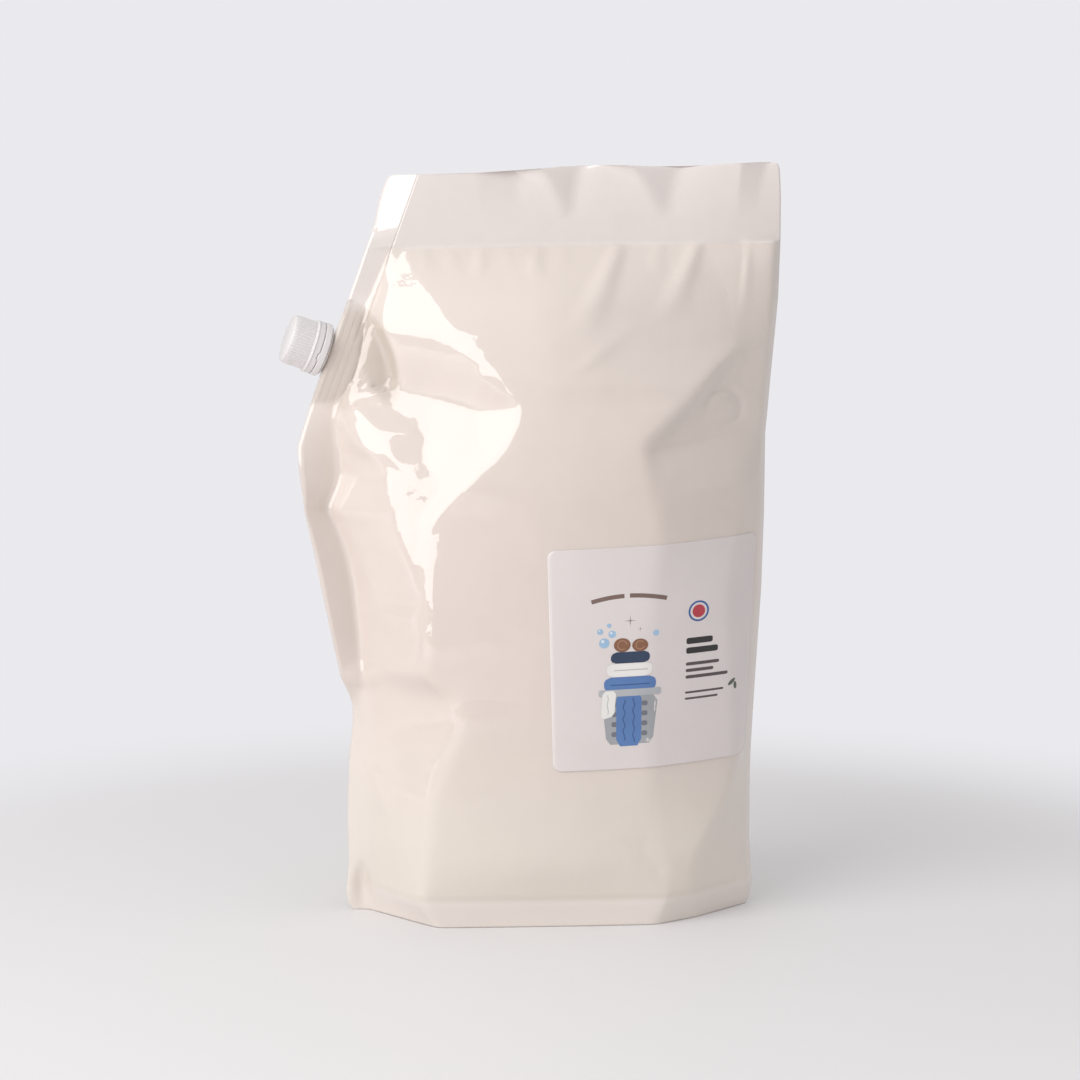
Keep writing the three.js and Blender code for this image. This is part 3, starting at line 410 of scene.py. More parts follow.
def header_wave(x, z, up):
    """Forward wave of both films; the strip along the slanted edge leans back from its seal line"""
    rows = np.array(HEADER_FOLDS)
    wave = np.interp(x, rows[:, 1] + (rows[:, 0] - rows[:, 1]) * up, rows[:, 2]) * up ** 0.7
    strip = np.clip(1 - along_weld(x, z)[1] / SEAL_LINE, 0, 1.2)
    return wave - STRIP_LEAN * strip * smooth(z, SEAL_Z + 3, HEADER_LOW + 4)


def curl(x, z):
    t = np.clip((x - CURL_START) / (at(RIGHT_EDGE, SEAL_Z, 1) - CURL_START), 0, 1.1)
    return at(RIGHT_CURL, z, 1) * t * t


def stations_at(side, folds, rounds, z):
    """Where the edges and fold lines cross one height: (x, out, half width of the rounding)"""
    left, right = at(LEFT_EDGE, z, 1), at(RIGHT_EDGE, z, 1)
    sealed = z >= SEAL_Z
    seal_left, seal_right = at(LEFT_EDGE, SEAL_Z, 1), at(RIGHT_EDGE, SEAL_Z, 1)
    stations = [(left, FIN_HALF + side * soft(FLAP_EDGE_OUT, z, 1), 0.5)]
    for k, rows in enumerate(folds):
        x = soft(rows, min(z, SEAL_Z), 1)
        if sealed:
            x = left + (right - left) * (x - seal_left) / (seal_right - seal_left)
        width = at(SHOULDER_ROUND, z, 1) if side > 0 and k == SHOULDER else rounds[k]
        stations.append((max(x, stations[-1][0] + 0.05), soft(rows, min(z, SEAL_Z), 2), width))
    fin_out = 0 if sealed else FRONT_FIN_OUT if side > 0 else BACK_FIN_OUT
    stations.append((right - FIN_WIDTH, FIN_HALF + fin_out, 2))
    stations.append((right, FIN_HALF + side * soft(RIGHT_SEAM_OUT, z, 1), 0.5))
    return stations


def film_row(side, folds, rounds, columns, z):
    stations = stations_at(side, folds, rounds, z)
    spans = zip(stations, stations[1:], columns)
    across = [np.linspace(a[0], b[0], n, endpoint=False) for a, b, n in spans]
    x = np.concatenate(across + [[stations[-1][0]]])
    rise = SEAL_RISE * (x - at(LEFT_EDGE, SEAL_Z, 1)) * smooth(z, RISE_FROM, SEAL_Z)
    up = np.clip((z - HEADER_LOW) / (HEADER_TOP - HEADER_LOW), 0, 1)
    level = (z + rise) * (1 - up) + at(TOP_EDGE, x, 1) * up
    if z >= SEAL_Z:
        out = FIN_HALF + side * (soft(FLAP_EDGE_OUT, z, 1) * (1 - up) + header_wave(x, level, up))
    else:
        out = film_out(side, stations, x, z + rise)
    return np.stack([x, -side * out + curl(x, level), level], -1)


def film_levels():
    low = np.concatenate([[0, 0.8], np.linspace(2.5, SEAL_Z - 0.4, 246)])
    return np.concatenate([low, np.linspace(SEAL_Z, HEADER_TOP, 32)])


# Meshes from rows of points

def new_piece(name, points, faces, surface, body="pouch_body", flat=False):
    """A mesh in metres with its material, riding on a body"""
    mesh = bpy.data.meshes.new(name)
    mesh.from_pydata(np.asarray(points).tolist(), [], faces)
    mesh.update()
    mesh.polygons.foreach_set("use_smooth", [not flat] * len(mesh.polygons))
    piece = bpy.data.objects.new(name, mesh)
    bpy.context.scene.collection.objects.link(piece)
    mesh.materials.append(surface)
    if body:
        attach(piece, body)
    return piece


def sheet_faces(rows, columns, start=0, flip=False, wrap=False):
    faces = []
    for j in range(rows - 1):
        for i in range(columns if wrap else columns - 1):
            a = start + j * columns + i
            b = start + j * columns + (i + 1) % columns
            quad = (a, b, b + columns, a + columns)
            faces.append(quad[::-1] if flip else quad)
    return faces


def add_values(piece, name, values):
    layer = piece.data.attributes.new(name, "FLOAT", "POINT")
    layer.data.foreach_set("value", np.asarray(values, dtype=np.float32))


def gusset_row(front, back, t):
    """One row of the gusset below, hollow behind the skirt and lifted in its two corners"""
    p = front + (back - front) * t
    depth = np.linalg.norm(back - front, axis=-1)
    edge = min(t, 1 - t) * depth
    hollow = smooth(edge, 0, 2.4) * (1 - smooth(edge, 6, 16)) * GUSSET_LIFT
    corner = (1 - smooth(depth, 30, 62)) * smooth(depth, 3, 16) * CORNER_LIFT
    p[:, 2] += np.maximum(hollow * smooth(depth, 4, 20), corner * smooth(edge, 0, 2.4))
    return p


def sealed_share(points):
    """1 where the two films are welded with nothing behind them, 0 over the filled bag"""
    x, y, z = points.T
    header = smooth(z - seal_line(x), -2, 0.5)
    skirt = 1 - smooth(z, SKIRT_Z - 1.5, SKIRT_Z + 1)
    edge = at(LEFT_EDGE, z, 1)
    left = (1 - smooth(x - edge, 7, 14)) * (0.35 + 0.65 * smooth(z, 296, 330))
    right = smooth(x - at(RIGHT_EDGE, z, 1), -4, -1)
    return np.clip(np.maximum.reduce([header, skirt * 0.5, left * 0.8, right * 0.6]), 0, 1)


def weld_shade_share(points):
    """0.55 over the spout's boat and 1 over the bulge of film inside the weld, where the film's colour
    is darkened as painted shade
    """
    x, y, z = points.T
    along, inside = along_weld(x, z)
    boat = smooth(BOAT_LENGTH / 2 + 4 - np.abs(along), 0, 9)
    boat = boat * (1 - smooth(inside, BOAT_DEPTH + 3, BOAT_DEPTH + 10))
    c, s = BULGE_TURN
    across = (x - BULGE_X) * c + (z - BULGE_Z) * s
    down = (x - BULGE_X) * s - (z - BULGE_Z) * c
    bulge = 1 - smooth(np.hypot(across / BULGE_HALF_WIDE, down / BULGE_HALF_TALL), 0.75, 1.05)
    return np.maximum(0.55 * boat, bulge * (y < 0))


def edge_faces(rows, columns):
    """Narrow faces that join the two films along both sides and the top"""
    count = rows * columns
    faces = []
    for j in range(rows - 1):
        left, right = j * columns, j * columns + columns - 1
        faces.append((left, left + columns, count + left + columns, count + left))
        faces.append((right + columns, right, count + right, count + right + columns))
    top = (rows - 1) * columns
    for i in range(columns - 1):
        faces.append((top + i, top + i + 1, count + top + i + 1, count + top + i))
    return faces


def gusset_steps():
    """Shares of the way from the front film to the back one, close together near both"""
    near_edge = np.linspace(0, 0.2, 12)
    return np.concatenate([near_edge[1:], np.linspace(0.24, 0.76, 5), 1 - near_edge[:0:-1]])


def gusset_faces(rows, columns, under):
    """Faces of the gusset, from the front film's lowest row over the rows under it to the back's"""
    count = rows * columns
    lines = [0] + [2 * count + k * columns for k in range(under)] + [count]
    faces = []
    for a, b in zip(lines, lines[1:]):
        for i in range(columns - 1):
            faces.append((a + i + 1, a + i, b + i, b + i + 1))
    for end in (0, columns - 1):
        foot = [line + end for line in lines]
        faces.append(tuple(foot if end else foot[::-1]))
    return faces


def make_pouch(front, back, surface):
    rows, columns = front.shape[:2]
    under = [gusset_row(front[0], back[0], t) for t in gusset_steps()]
    points = np.concatenate([front.reshape(-1, 3), back.reshape(-1, 3)] + under)
    sheets = sheet_faces(rows, columns) + sheet_faces(rows, columns, rows * columns, flip=True)
    edges = edge_faces(rows, columns)
    faces = sheets + edges + gusset_faces(rows, columns, len(under))
    piece = new_piece("pouch_film", points * MM, faces, surface)
    for k in range(len(edges)):
        piece.data.polygons[len(sheets) + k].use_smooth = False
    add_values(piece, "sealed", sealed_share(points))
    # the weld mask carries painted shade over the boat and the bulge of film inside it
    add_values(piece, "weld", weld_shade_share(points))
    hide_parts("pouch")


# The label and its printed shapes, in millimetres across and up the label

LABEL_CORNERS = np.array([[-2, 83], [103, 85], [109, 200], [-5, 196.5]])
LABEL_WIDE = 107
LABEL_TALL = 115
LABEL_CORNER = 4
LABEL_OUT = 0.7
LABEL_EDGE_OUT = 0.1
PRINT_STEP = 0.04


def on_film(x, z):
    """The front film's surface at arrays of x and z below the seal"""
    row = np.clip(np.searchsorted(LEVELS, z) - 1, 0, len(LEVELS) - 2)
    share = (z - LEVELS[row]) / (LEVELS[row + 1] - LEVELS[row])
    low = np.array([np.interp(px, FRONT[r, :, 0], FRONT[r, :, 1]) for px, r in zip(x, row)])
    high = np.array([np.interp(px, FRONT[r + 1, :, 0], FRONT[r + 1, :, 1]) for px, r in zip(x, row)])
    return np.stack([x, low + (high - low) * share, z], -1)


def label_place(u, v):
    """From millimetres on the label to x and z on the pouch"""
    s, t = (u / LABEL_WIDE)[:, None], (v / LABEL_TALL)[:, None]
    a, b, c, d = LABEL_CORNERS
    return ((a * (1 - s) + b * s) * (1 - t) + (d * (1 - s) + c * s) * t).T


def on_label(uv, lift):
    """Points of the label, lifted off the film along its normal"""
    u, v = np.asarray(uv, float).T
    reach = 0.8
    middle = on_film(*label_place(u, v))
    across = on_film(*label_place(u + reach, v)) - on_film(*label_place(u - reach, v))
    upward = on_film(*label_place(u, v + reach)) - on_film(*label_place(u, v - reach))
    normal = np.cross(across, upward)
    normal /= np.linalg.norm(normal, axis=-1, keepdims=True)
    return middle + normal * np.asarray(lift).reshape(-1, 1)


def make_label(surface):
    turns = np.linspace(0, math.pi / 2, 9)
    corner = LABEL_CORNER * (1 - np.cos(turns))
    between = np.linspace(LABEL_CORNER, LABEL_TALL - LABEL_CORNER, 84)[1:-1]
    heights = np.concatenate([corner, between, LABEL_TALL - corner[::-1]])
    columns = np.concatenate([[0, 0.006], np.linspace(0.02, 0.98, 90), [0.994, 1]])
    uv, lift = [], []
    for j, v in enumerate(heights):
        short = max(LABEL_CORNER - min(v, LABEL_TALL - v), 0)
        inset = LABEL_CORNER - math.sqrt(LABEL_CORNER ** 2 - short ** 2)
        for i, s in enumerate(columns):
            uv.append((inset + (LABEL_WIDE - 2 * inset) * s, v))
            border = j in (0, len(heights) - 1) or i in (0, len(columns) - 1)
            lift.append(LABEL_EDGE_OUT if border else LABEL_OUT)
    faces = sheet_faces(len(heights), len(columns))
    piece = new_piece("label_film", on_label(uv, lift) * MM, faces, surface)
    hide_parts("label")


def disc(u, v, ru, rv=None, turn=0.0, hole=0.0):
    """Rings of points from a hole, or the middle, out to an oval"""
    rv = rv or ru
    c, s = math.cos(math.radians(turn)), math.sin(math.radians(turn))
    uv = []
    rings, around = 4, 32
    for k in range(rings + 1):
        share = hole + (1 - hole) * k / rings
        for i in range(around):
            a = 2 * math.pi * i / around
            x, y = ru * share * math.cos(a), rv * share * math.sin(a)
            uv.append((u + x * c - y * s, v + x * s + y * c))
    return uv, sheet_faces(rings + 1, around, wrap=True, flip=True)


def panel(corners, across=14, up=8, corner=0.0):
    """Four-sided patch from its lower left corner anticlockwise, with its corners cut round"""
    a, b, c, d = np.array(corners, float)
    uv = []
    tall = np.linalg.norm(d - a)
    wide = np.linalg.norm(b - a)
    for j in range(up + 1):
        t = j / up
        short = max(corner - min(t, 1 - t) * tall, 0)
        inset = (corner - math.sqrt(corner ** 2 - short ** 2)) / wide if corner else 0
        for i in range(across + 1):
            s = inset + (1 - 2 * inset) * i / across
            uv.append(tuple((a * (1 - s) + b * s) * (1 - t) + (d * (1 - s) + c * s) * t))
    return uv, sheet_faces(up + 1, across + 1)


def bar(u0, u1, v, tall):
    corners = [(u0, v), (u1, v), (u1, v + tall), (u0, v + tall)]
    return panel(corners, corner=min(tall / 2, 0.9) * 0.98)


def stroke(line, width):
    line = np.array(line, float)
    ahead = np.gradient(line, axis=0)
    ahead /= np.linalg.norm(ahead, axis=1, keepdims=True)
    left = np.stack([-ahead[:, 1], ahead[:, 0]], -1) * width / 2
    uv = [tuple(p) for row in (line - left, line + left) for p in row]
    return uv, sheet_faces(2, len(line))


def arc(u, v, radius, start, end, width):
    turns = np.radians(np.linspace(start, end, 26))
    return stroke([(u + radius * math.cos(a), v + radius * math.sin(a)) for a in turns], width)


def sparkle(u, v, size):
    shapes = []
    for du, dv in ((1, 0), (0, 1)):
        tip, side = np.array([du, dv]) * size, np.array([-dv, du]) * size * 0.1
        middle = np.array([u, v])
        shapes.append(panel([middle - tip, middle - side, middle + tip, middle + side], 6, 6))
    return shapes


def print_shapes(name, shapes, colour, layer):
    """One piece of print from several shapes of one colour"""
    uv, faces = [], []
    for more_uv, more_faces in shapes:
        faces += [tuple(i + len(uv) for i in face) for face in more_faces]
        uv += more_uv
    lift = np.full(len(uv), LABEL_OUT + PRINT_STEP * layer)
    piece = new_piece("print_" + name, on_label(uv, lift) * MM, faces, ink(name, colour))


def print_basket():
    slots = [bar(30.5 + 5.2 * i, 33.5 + 5.2 * i, 17 + 5.2 * j, 2.6) for j in range(4) for i in range(4)]
    basket = [panel([(28, 13), (52, 13), (54.5, 38), (25.5, 38)], corner=2)]
    print_shapes("basket", basket, (0.36, 0.37, 0.39), 1)
    print_shapes("slots", slots, (0.17, 0.18, 0.21), 2)
    print_shapes("rim", [bar(24, 56, 38, 3.6)], (0.45, 0.46, 0.48), 4)


def print_towels():
    blue = [panel([(27, 40), (53, 40), (53.5, 48), (26.5, 48)], corner=3.6),
            panel([(33, 12), (46, 12), (46, 40), (33, 40)], corner=2)]
    folds = [stroke([(37 + 0.6 * math.sin(v), 15 + v) for v in np.linspace(0, 21, 20)], 0.5),
             stroke([(42 + 0.5 * math.sin(v + 1), 14 + v) for v in np.linspace(0, 23, 20)], 0.5),
             stroke([(u, 44) for u in np.linspace(30, 50, 12)], 0.5)]
    white = [panel([(28.5, 48.2), (51, 48.2), (51.5, 55), (28, 55)], corner=3),
             panel([(25, 26), (32, 28), (33, 41), (26, 41)], corner=1.5)]
    shade = [stroke([(u, 51.6) for u in np.linspace(32, 49, 12)], 0.5),
             stroke([(28.6 + 0.3 * math.sin(v), 29 + v) for v in np.linspace(0, 10, 12)], 0.4)]
    navy = [panel([(30, 55.2), (50, 55.2), (50, 61), (30.5, 61)], corner=2.8)]
    tan = [disc(36, 64.6, 4.2, 3.6), disc(45, 64.2, 4.0, 3.3)]
    rolls = [arc(36, 64.6, 2.3, 0, 300, 0.5), arc(45, 64.2, 2.1, 40, 340, 0.5)]
    print_shapes("blue_towels", blue, (0.10, 0.20, 0.44), 3)
    print_shapes("blue_folds", folds, (0.05, 0.11, 0.28), 5)
    print_shapes("white_towels", white, (0.80, 0.78, 0.75), 5)
    print_shapes("white_folds", shade, (0.50, 0.49, 0.48), 6)
    print_shapes("navy_towel", navy, (0.03, 0.05, 0.10), 4)
    print_shapes("tan_rolls", tan, (0.24, 0.11, 0.06), 4)
    print_shapes("roll_turns", rolls, (0.40, 0.22, 0.14), 5)


def print_bubbles():
    bubbles = [disc(27, 66, 2.6), disc(31, 70.5, 1.9), disc(25, 72, 1.5), disc(29.5, 75, 1.1),
               disc(53, 70, 1.5)]
    shine = [disc(26.2, 67, 0.8), disc(30.5, 71.1, 0.6), disc(24.6, 72.5, 0.4)]
    stars = sparkle(40, 77, 3.0) + sparkle(45, 72.5, 1.5)
    print_shapes("bubbles", bubbles, (0.36, 0.53, 0.72), 2)
    print_shapes("bubble_shine", shine, (0.75, 0.82, 0.88), 3)
    print_shapes("sparkles", stars, (0.30, 0.27, 0.27), 1)


def print_bars():
    heading = [arc(39.5, 20, 70, 105.5, 92, 2.2), arc(39.5, 20, 70, 89.8, 74.5, 2.2)]
    bold = [bar(69, 83, 62.2, 3.2), bar(69, 86, 57.2, 3.2)]
    thin = [bar(69, 87, 51, 1.7), bar(69, 84, 47.6, 1.7), bar(69, 92, 44.2, 1.7),
            bar(69, 90, 36.4, 1.1), bar(69, 87, 33.2, 1.1)]
    leaf = [disc(94.5, 39.5, 2.4, 1.0, 40), disc(96.6, 37.4, 2.0, 0.9, 100)]
    print_shapes("heading", heading, (0.20, 0.13, 0.11), 1)
    print_shapes("ring", [disc(75, 79, 5.4, hole=0.82)], (0.05, 0.12, 0.33), 1)
    print_shapes("dot", [disc(75, 79, 3.3)], (0.50, 0.05, 0.07), 2)
    print_shapes("bold_bars", bold, (0.03, 0.028, 0.028), 1)
    print_shapes("thin_bars", thin, (0.10, 0.08, 0.08), 1)
    print_shapes("leaves", leaf, (0.10, 0.12, 0.09), 1)


def make_print():
    """A basket of folded laundry under bubbles, with plain bars where a label has its text"""
    print_basket()
    print_towels()
    print_bubbles()
    print_bars()


# The spout, tamper band and cap, turned about the spout's axis

def spout_matrix(swing=SPOUT_SWING):
    """Place of the spout on the slanted edge, swung towards the front"""
    up = Vector((SLANT[0], 0, SLANT[1]))
    out = Matrix.Rotation(math.radians(swing), 3, up) @ Vector((-SLANT[1], 0, SLANT[0]))
    side = up.cross(out)
    place = Matrix((side, up, out)).transposed().to_4x4()
    place.translation = Vector((SPOUT_FOOT[0], -EDGE_LEAN, SPOUT_FOOT[1]))
    return np.array(place)


def placed(points, place):
    points = np.asarray(points, float)
    return (points @ place[:3, :3].T + place[:3, 3]) * MM


def rounded_profile(corners, step=0.5):
    """Profile of [radius, height] with extra points along its straight runs"""
    points = []
    for (r0, h0), (r1, h1) in zip(corners, corners[1:]):
        n = max(int(math.hypot(r1 - r0, h1 - h0) / step), 1)
        points += [(r0 + (r1 - r0) * k / n, h0 + (h1 - h0) * k / n) for k in range(n)]
    return points + [corners[-1]]


def turned_piece(name, corners, around, shape, surface, body, closed):
    """Turn a profile about the axis; shape(r, h, angle) gives the finished radius and height"""
    line = rounded_profile(corners)
    turns = np.linspace(0, 2 * math.pi, around, endpoint=False)
    points = []
    for r, h in line:
        radius, height = shape(np.full(around, float(r)), np.full(around, float(h)), turns)
        points.append(np.stack([radius * np.cos(turns), radius * np.sin(turns), height], -1))
    faces = sheet_faces(len(line), around, wrap=True)
    if closed:
        last = (len(line) - 1) * around
        for i in range(around):
            faces.append((last + i, last + (i + 1) % around, (i + 1) % around, i))
    return new_piece(name, placed(np.concatenate(points), spout_matrix()), faces, surface, body)


TAB_TURN = math.radians(-14)
TAB_HALF = math.radians(9)
TAB_RISE = 0.9


def tab_rise(h, turns, low, high):
    """The tear line steps over a small rounded tab"""
    aside = (turns + math.pi - TAB_TURN) % (2 * math.pi) - math.pi
    bump = np.sqrt(np.clip(1 - (aside / TAB_HALF) ** 2, 0, 1))
    return TAB_RISE * bump * smooth(h, low, low + 0.01) * (1 - smooth(h, high - 1.4, high))


def cap_shape(r, h, turns):
    ribs = (0.5 + 0.5 * np.cos(CAP_RIBS * turns)) ** 0.7
    skirt = smooth(h, COLLAR_HIGH + 0.5, COLLAR_HIGH + 0.9)
    skirt = skirt * (1 - smooth(h, CAP_TOP - 2.4, CAP_TOP - 0.9))
    outside = smooth(r, CAP_R - 0.4, CAP_R - 0.1)
    tab = tab_rise(h, turns, CAP_LOW - 0.2, CAP_LOW + 2.6) * smooth(r, 12, 13)
    return r + RIB_OUT * ribs * skirt * outside, h + tab


def band_shape(r, h, turns):
    rise = tab_rise(h, turns, BAND_LOW - 1, CAP_TOP) * smooth(r, 12, 13)
    return r, h + rise * smooth(h, BAND_SHELF, BAND_HIGH - 0.3)


def plain_shape(r, h, turns):
    return r, h


def make_cap(surface):
    outer = [
        (0, CAP_CEILING), (CAP_BORE_R, CAP_CEILING), (CAP_BORE_R, CAP_LOW), (COLLAR_R - 0.3, CAP_LOW),
        (COLLAR_R, CAP_LOW + 0.3), (COLLAR_R, COLLAR_HIGH - 1), (COLLAR_R + 0.28, COLLAR_HIGH - 0.75),
        (COLLAR_R + 0.3, COLLAR_HIGH - 0.35), (COLLAR_R - 0.1, COLLAR_HIGH - 0.08),
        (CAP_R + 0.55, COLLAR_HIGH + 0.05), (CAP_R + 0.1, COLLAR_HIGH + 0.3),
        (CAP_R, COLLAR_HIGH + 0.6), (CAP_R, CAP_TOP - 0.9), (CAP_R - 0.25, CAP_TOP - 0.45),
        (CAP_R - 0.7, CAP_TOP - 0.12), (CAP_R - 1.4, CAP_TOP + 0.02),
        (CAP_R - 1.9, CAP_TOP + 0.1), (CAP_R - 3.5, CAP_TOP + 0.5), (CAP_R - 7, CAP_TOP + CAP_DOME),
        (0, CAP_TOP + CAP_DOME + 0.1),
    ]
    piece = turned_piece("cap_moulding", outer, CAP_RIBS * 8, cap_shape, surface, "cap_body", False)
    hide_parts("cap")


def make_band(surface):
    corners = [
        (BAND_LIP_R, BAND_LOW), (BAND_R - 0.3, BAND_LOW), (BAND_R, BAND_LOW + 0.3),
        (BAND_R, BAND_HIGH - 0.2), (BAND_R - 0.2, BAND_HIGH), (CAP_BORE_R, BAND_HIGH),
        (CAP_BORE_R, BAND_SHELF), (BAND_LIP_R, BAND_SHELF),
    ]
    piece = turned_piece("band_moulding", corners, 240, band_shape, surface, "pouch_body", True)
    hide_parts("tamper_band")


def make_spout(surface):
    corners = [
        (BORE_R, NECK_TOP), (NECK_R - 0.4, NECK_TOP), (NECK_R, NECK_TOP - 0.4), (NECK_R, BEAD_HIGH),
        (BEAD_R, BEAD_HIGH - 0.5), (BEAD_R, BEAD_LOW), (NECK_R, BEAD_LOW), (NECK_R, FLANGE_HIGH),
        (FLANGE_R, FLANGE_HIGH), (FLANGE_R, FLANGE_LOW), (NECK_FOOT_R, FLANGE_LOW), (NECK_FOOT_R, -1),
        (BOAT_BORE_R, -1), (BOAT_BORE_R, 0), (BORE_R, FLANGE_HIGH + 1),
    ]
    neck = turned_piece("spout_neck", corners[::-1], 96, plain_shape, surface, "pouch_body", True)
    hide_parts("spout")
    make_thread(surface)
    make_boat(surface)


THREAD_LOW = 9.4
THREAD_PITCH = 4.0
THREAD_TURNS = 1.8
THREAD_OUT = 1.05


def make_thread(surface):
    """One ridge that winds up the neck and runs out at both ends"""
    points = []
    steps = 130
    root = NECK_R - 0.3
    for k in range(steps + 1):
        a = 2 * math.pi * THREAD_TURNS * k / steps
        h = THREAD_LOW + THREAD_PITCH * a / (2 * math.pi)
        crest = NECK_R + THREAD_OUT * min(1, k / 10, (steps - k) / 10)
        for r, up in ((root, -0.9), (crest, -0.25), (crest, 0.25), (root, 0.9)):
            points.append((r * math.cos(a), r * math.sin(a), h + up))
    faces = sheet_faces(steps + 1, 4, flip=True)
    piece = new_piece("spout_thread", placed(points, spout_matrix()), faces, surface)


def make_boat(surface):
    """Outer face of the boat, which shows between the two films along the slanted edge"""
    line = [-math.cos(math.pi * k / 48) * BOAT_LENGTH / 2 for k in range(49)]
    half = [float(boat_half(v)) + 0.15 for v in line]
    outline = [(h, v) for h, v in zip(half, line)] + [(-h, v) for h, v in zip(half[::-1], line[::-1])]
    points = []
    for h, shrink in ((-1.5, 0), (0.15, 0), (0.35, 0.25)):
        for u, v in outline:
            inset = math.copysign(min(shrink, abs(u)), u)
            points.append((u - inset, v * (1 - shrink / 30), h))
    n = len(outline)
    faces = sheet_faces(3, n, wrap=True)
    faces.append(tuple(range(2 * n, 3 * n)))
    piece = new_piece("spout_boat", placed(points, spout_matrix(0)), faces, surface)


# Materials

def material(name, roughness, coat=0.0, coat_roughness=0.03, specular=0.5):
    made = bpy.data.materials.new(name)
    made.use_nodes = True
    shader = made.node_tree.nodes["Principled BSDF"]
    shader.inputs["Roughness"].default_value = roughness
    shader.inputs["Specular IOR Level"].default_value = specular
    shader.inputs["Coat Weight"].default_value = coat
    shader.inputs["Coat Roughness"].default_value = coat_roughness
    return made, shader


def node(made, kind, **settings):
    """A new node with its settings, which are inputs or properties"""
    n = made.node_tree.nodes.new(kind)
    for key, value in settings.items():
        if key in n.inputs:
            n.inputs[key].default_value = value
        else:
            setattr(n, key, value)
    return n


def link(made, a, b):
    made.node_tree.links.new(a, b)


def place_of(made):
    return node(made, "ShaderNodeTexCoord").outputs["Object"]


def noise_texture(made, scale, detail=2.0):
    n = node(made, "ShaderNodeTexNoise", Scale=scale, Detail=detail)
    link(made, place_of(made), n.inputs["Vector"])
    return n.outputs["Fac"]


def ramp(made, source, stops):
    n = node(made, "ShaderNodeValToRGB")
    while len(n.color_ramp.elements) < len(stops):
        n.color_ramp.elements.new(0.5)
    for element, (place, colour) in zip(n.color_ramp.elements, stops):
        element.position = place
        element.color = (*colour, 1)
    link(made, source, n.inputs["Fac"])
    return n.outputs["Color"]


def mixed(made, share, a, b, blend="MIX"):
    n = node(made, "ShaderNodeMix", data_type="RGBA", blend_type=blend)
    if isinstance(share, float):
        n.inputs["Factor"].default_value = share
    else:
        link(made, share, n.inputs["Factor"])
    for value, socket in ((a, n.inputs[6]), (b, n.inputs[7])):
        if isinstance(value, tuple):
            socket.default_value = (*value, 1)
        else:
            link(made, value, socket)
    return n.outputs[2]


def bump(made, shader, layers):
    """Layers of (height output, distance in metres)"""
    normal = None
    for height, distance in layers:
        n = node(made, "ShaderNodeBump", Distance=distance)
        link(made, height, n.inputs["Height"])
        if normal:
            link(made, normal, n.inputs["Normal"])
        normal = n.outputs["Normal"]
    link(made, normal, shader.inputs["Normal"])
    if shader.inputs["Coat Weight"].default_value > 0:
        link(made, normal, shader.inputs["Coat Normal"])


def arithmetic(made, operation, a, b=0.0):
    n = node(made, "ShaderNodeMath", operation=operation)
    for value, socket in ((a, n.inputs[0]), (b, n.inputs[1])):
        if isinstance(value, float):
            socket.default_value = value
        else:
            link(made, value, socket)
    return n.outputs[0]


def product(made, a, b):
    return arithmetic(made, "MULTIPLY", a, b)


def peak(made, source, middle, width):
    """1 where the source is at the middle, falling to 0 half a width away"""
    away = arithmetic(made, "ABSOLUTE", arithmetic(made, "SUBTRACT", source, float(middle)))
    near = arithmetic(made, "SUBTRACT", 1.0, arithmetic(made, "DIVIDE", away, width / 2))
    return arithmetic(made, "MAXIMUM", near, 0.0)


def attribute(made, name):
    return node(made, "ShaderNodeAttribute", attribute_name=name).outputs["Fac"]


# the lower film's own warmer tone, raised towards white as a painted reflection of the softbox
FILM_LOW_AND_SHEEN = (0.765, 0.685, 0.612)
FILM_MIDDLE = (0.745, 0.640, 0.580)
FILM_HIGH = (0.765, 0.675, 0.615)
FILM_SEALED = (0.80, 0.725, 0.69)
# painted shade over the spout's boat and the bulge of film inside its weld
FILM_WELD_SHADE = (0.61, 0.525, 0.455)
# painted shade along the fold line inside the slanted seal and between the boat's ribs
FILM_CREASE_SHADE = (0.80, 0.78, 0.76)
FILM_COAT_IOR = 1.75
LABEL_TINT = (0.745, 0.680, 0.665)
SPOUT_TINT = (0.72, 0.69, 0.67)
CAP_TINT = (0.76, 0.72, 0.715)
LINER_TINT = (0.78, 0.76, 0.74)


def film_colour(made, height):
    """The film's colour: a little warmer and paler low down, partly as a painted reflection of the
    softbox, paler where sealed, and darker over the boat and the bulge inside the weld as painted shade
    """
    level = node(made, "ShaderNodeMapRange")
    level.inputs["From Max"].default_value = 0.39
    link(made, height, level.inputs["Value"])
    filled = ramp(made, level.outputs["Result"], [
        (0.0, FILM_LOW_AND_SHEEN), (0.12, FILM_LOW_AND_SHEEN), (0.32, FILM_MIDDLE), (0.95, FILM_HIGH),
    ])
    colour = mixed(made, attribute(made, "sealed"), filled, FILM_SEALED)
    # painted shade over the boat and the bulge inside the weld
    colour = mixed(made, attribute(made, "weld"), colour, FILM_WELD_SHADE)
    cloud = ramp(made, noise_texture(made, 14.0), [(0.3, (0.965, 0.97, 0.97)), (0.7, (1.0, 1.0, 1.0))])
    return mixed(made, 1.0, colour, cloud, "MULTIPLY")


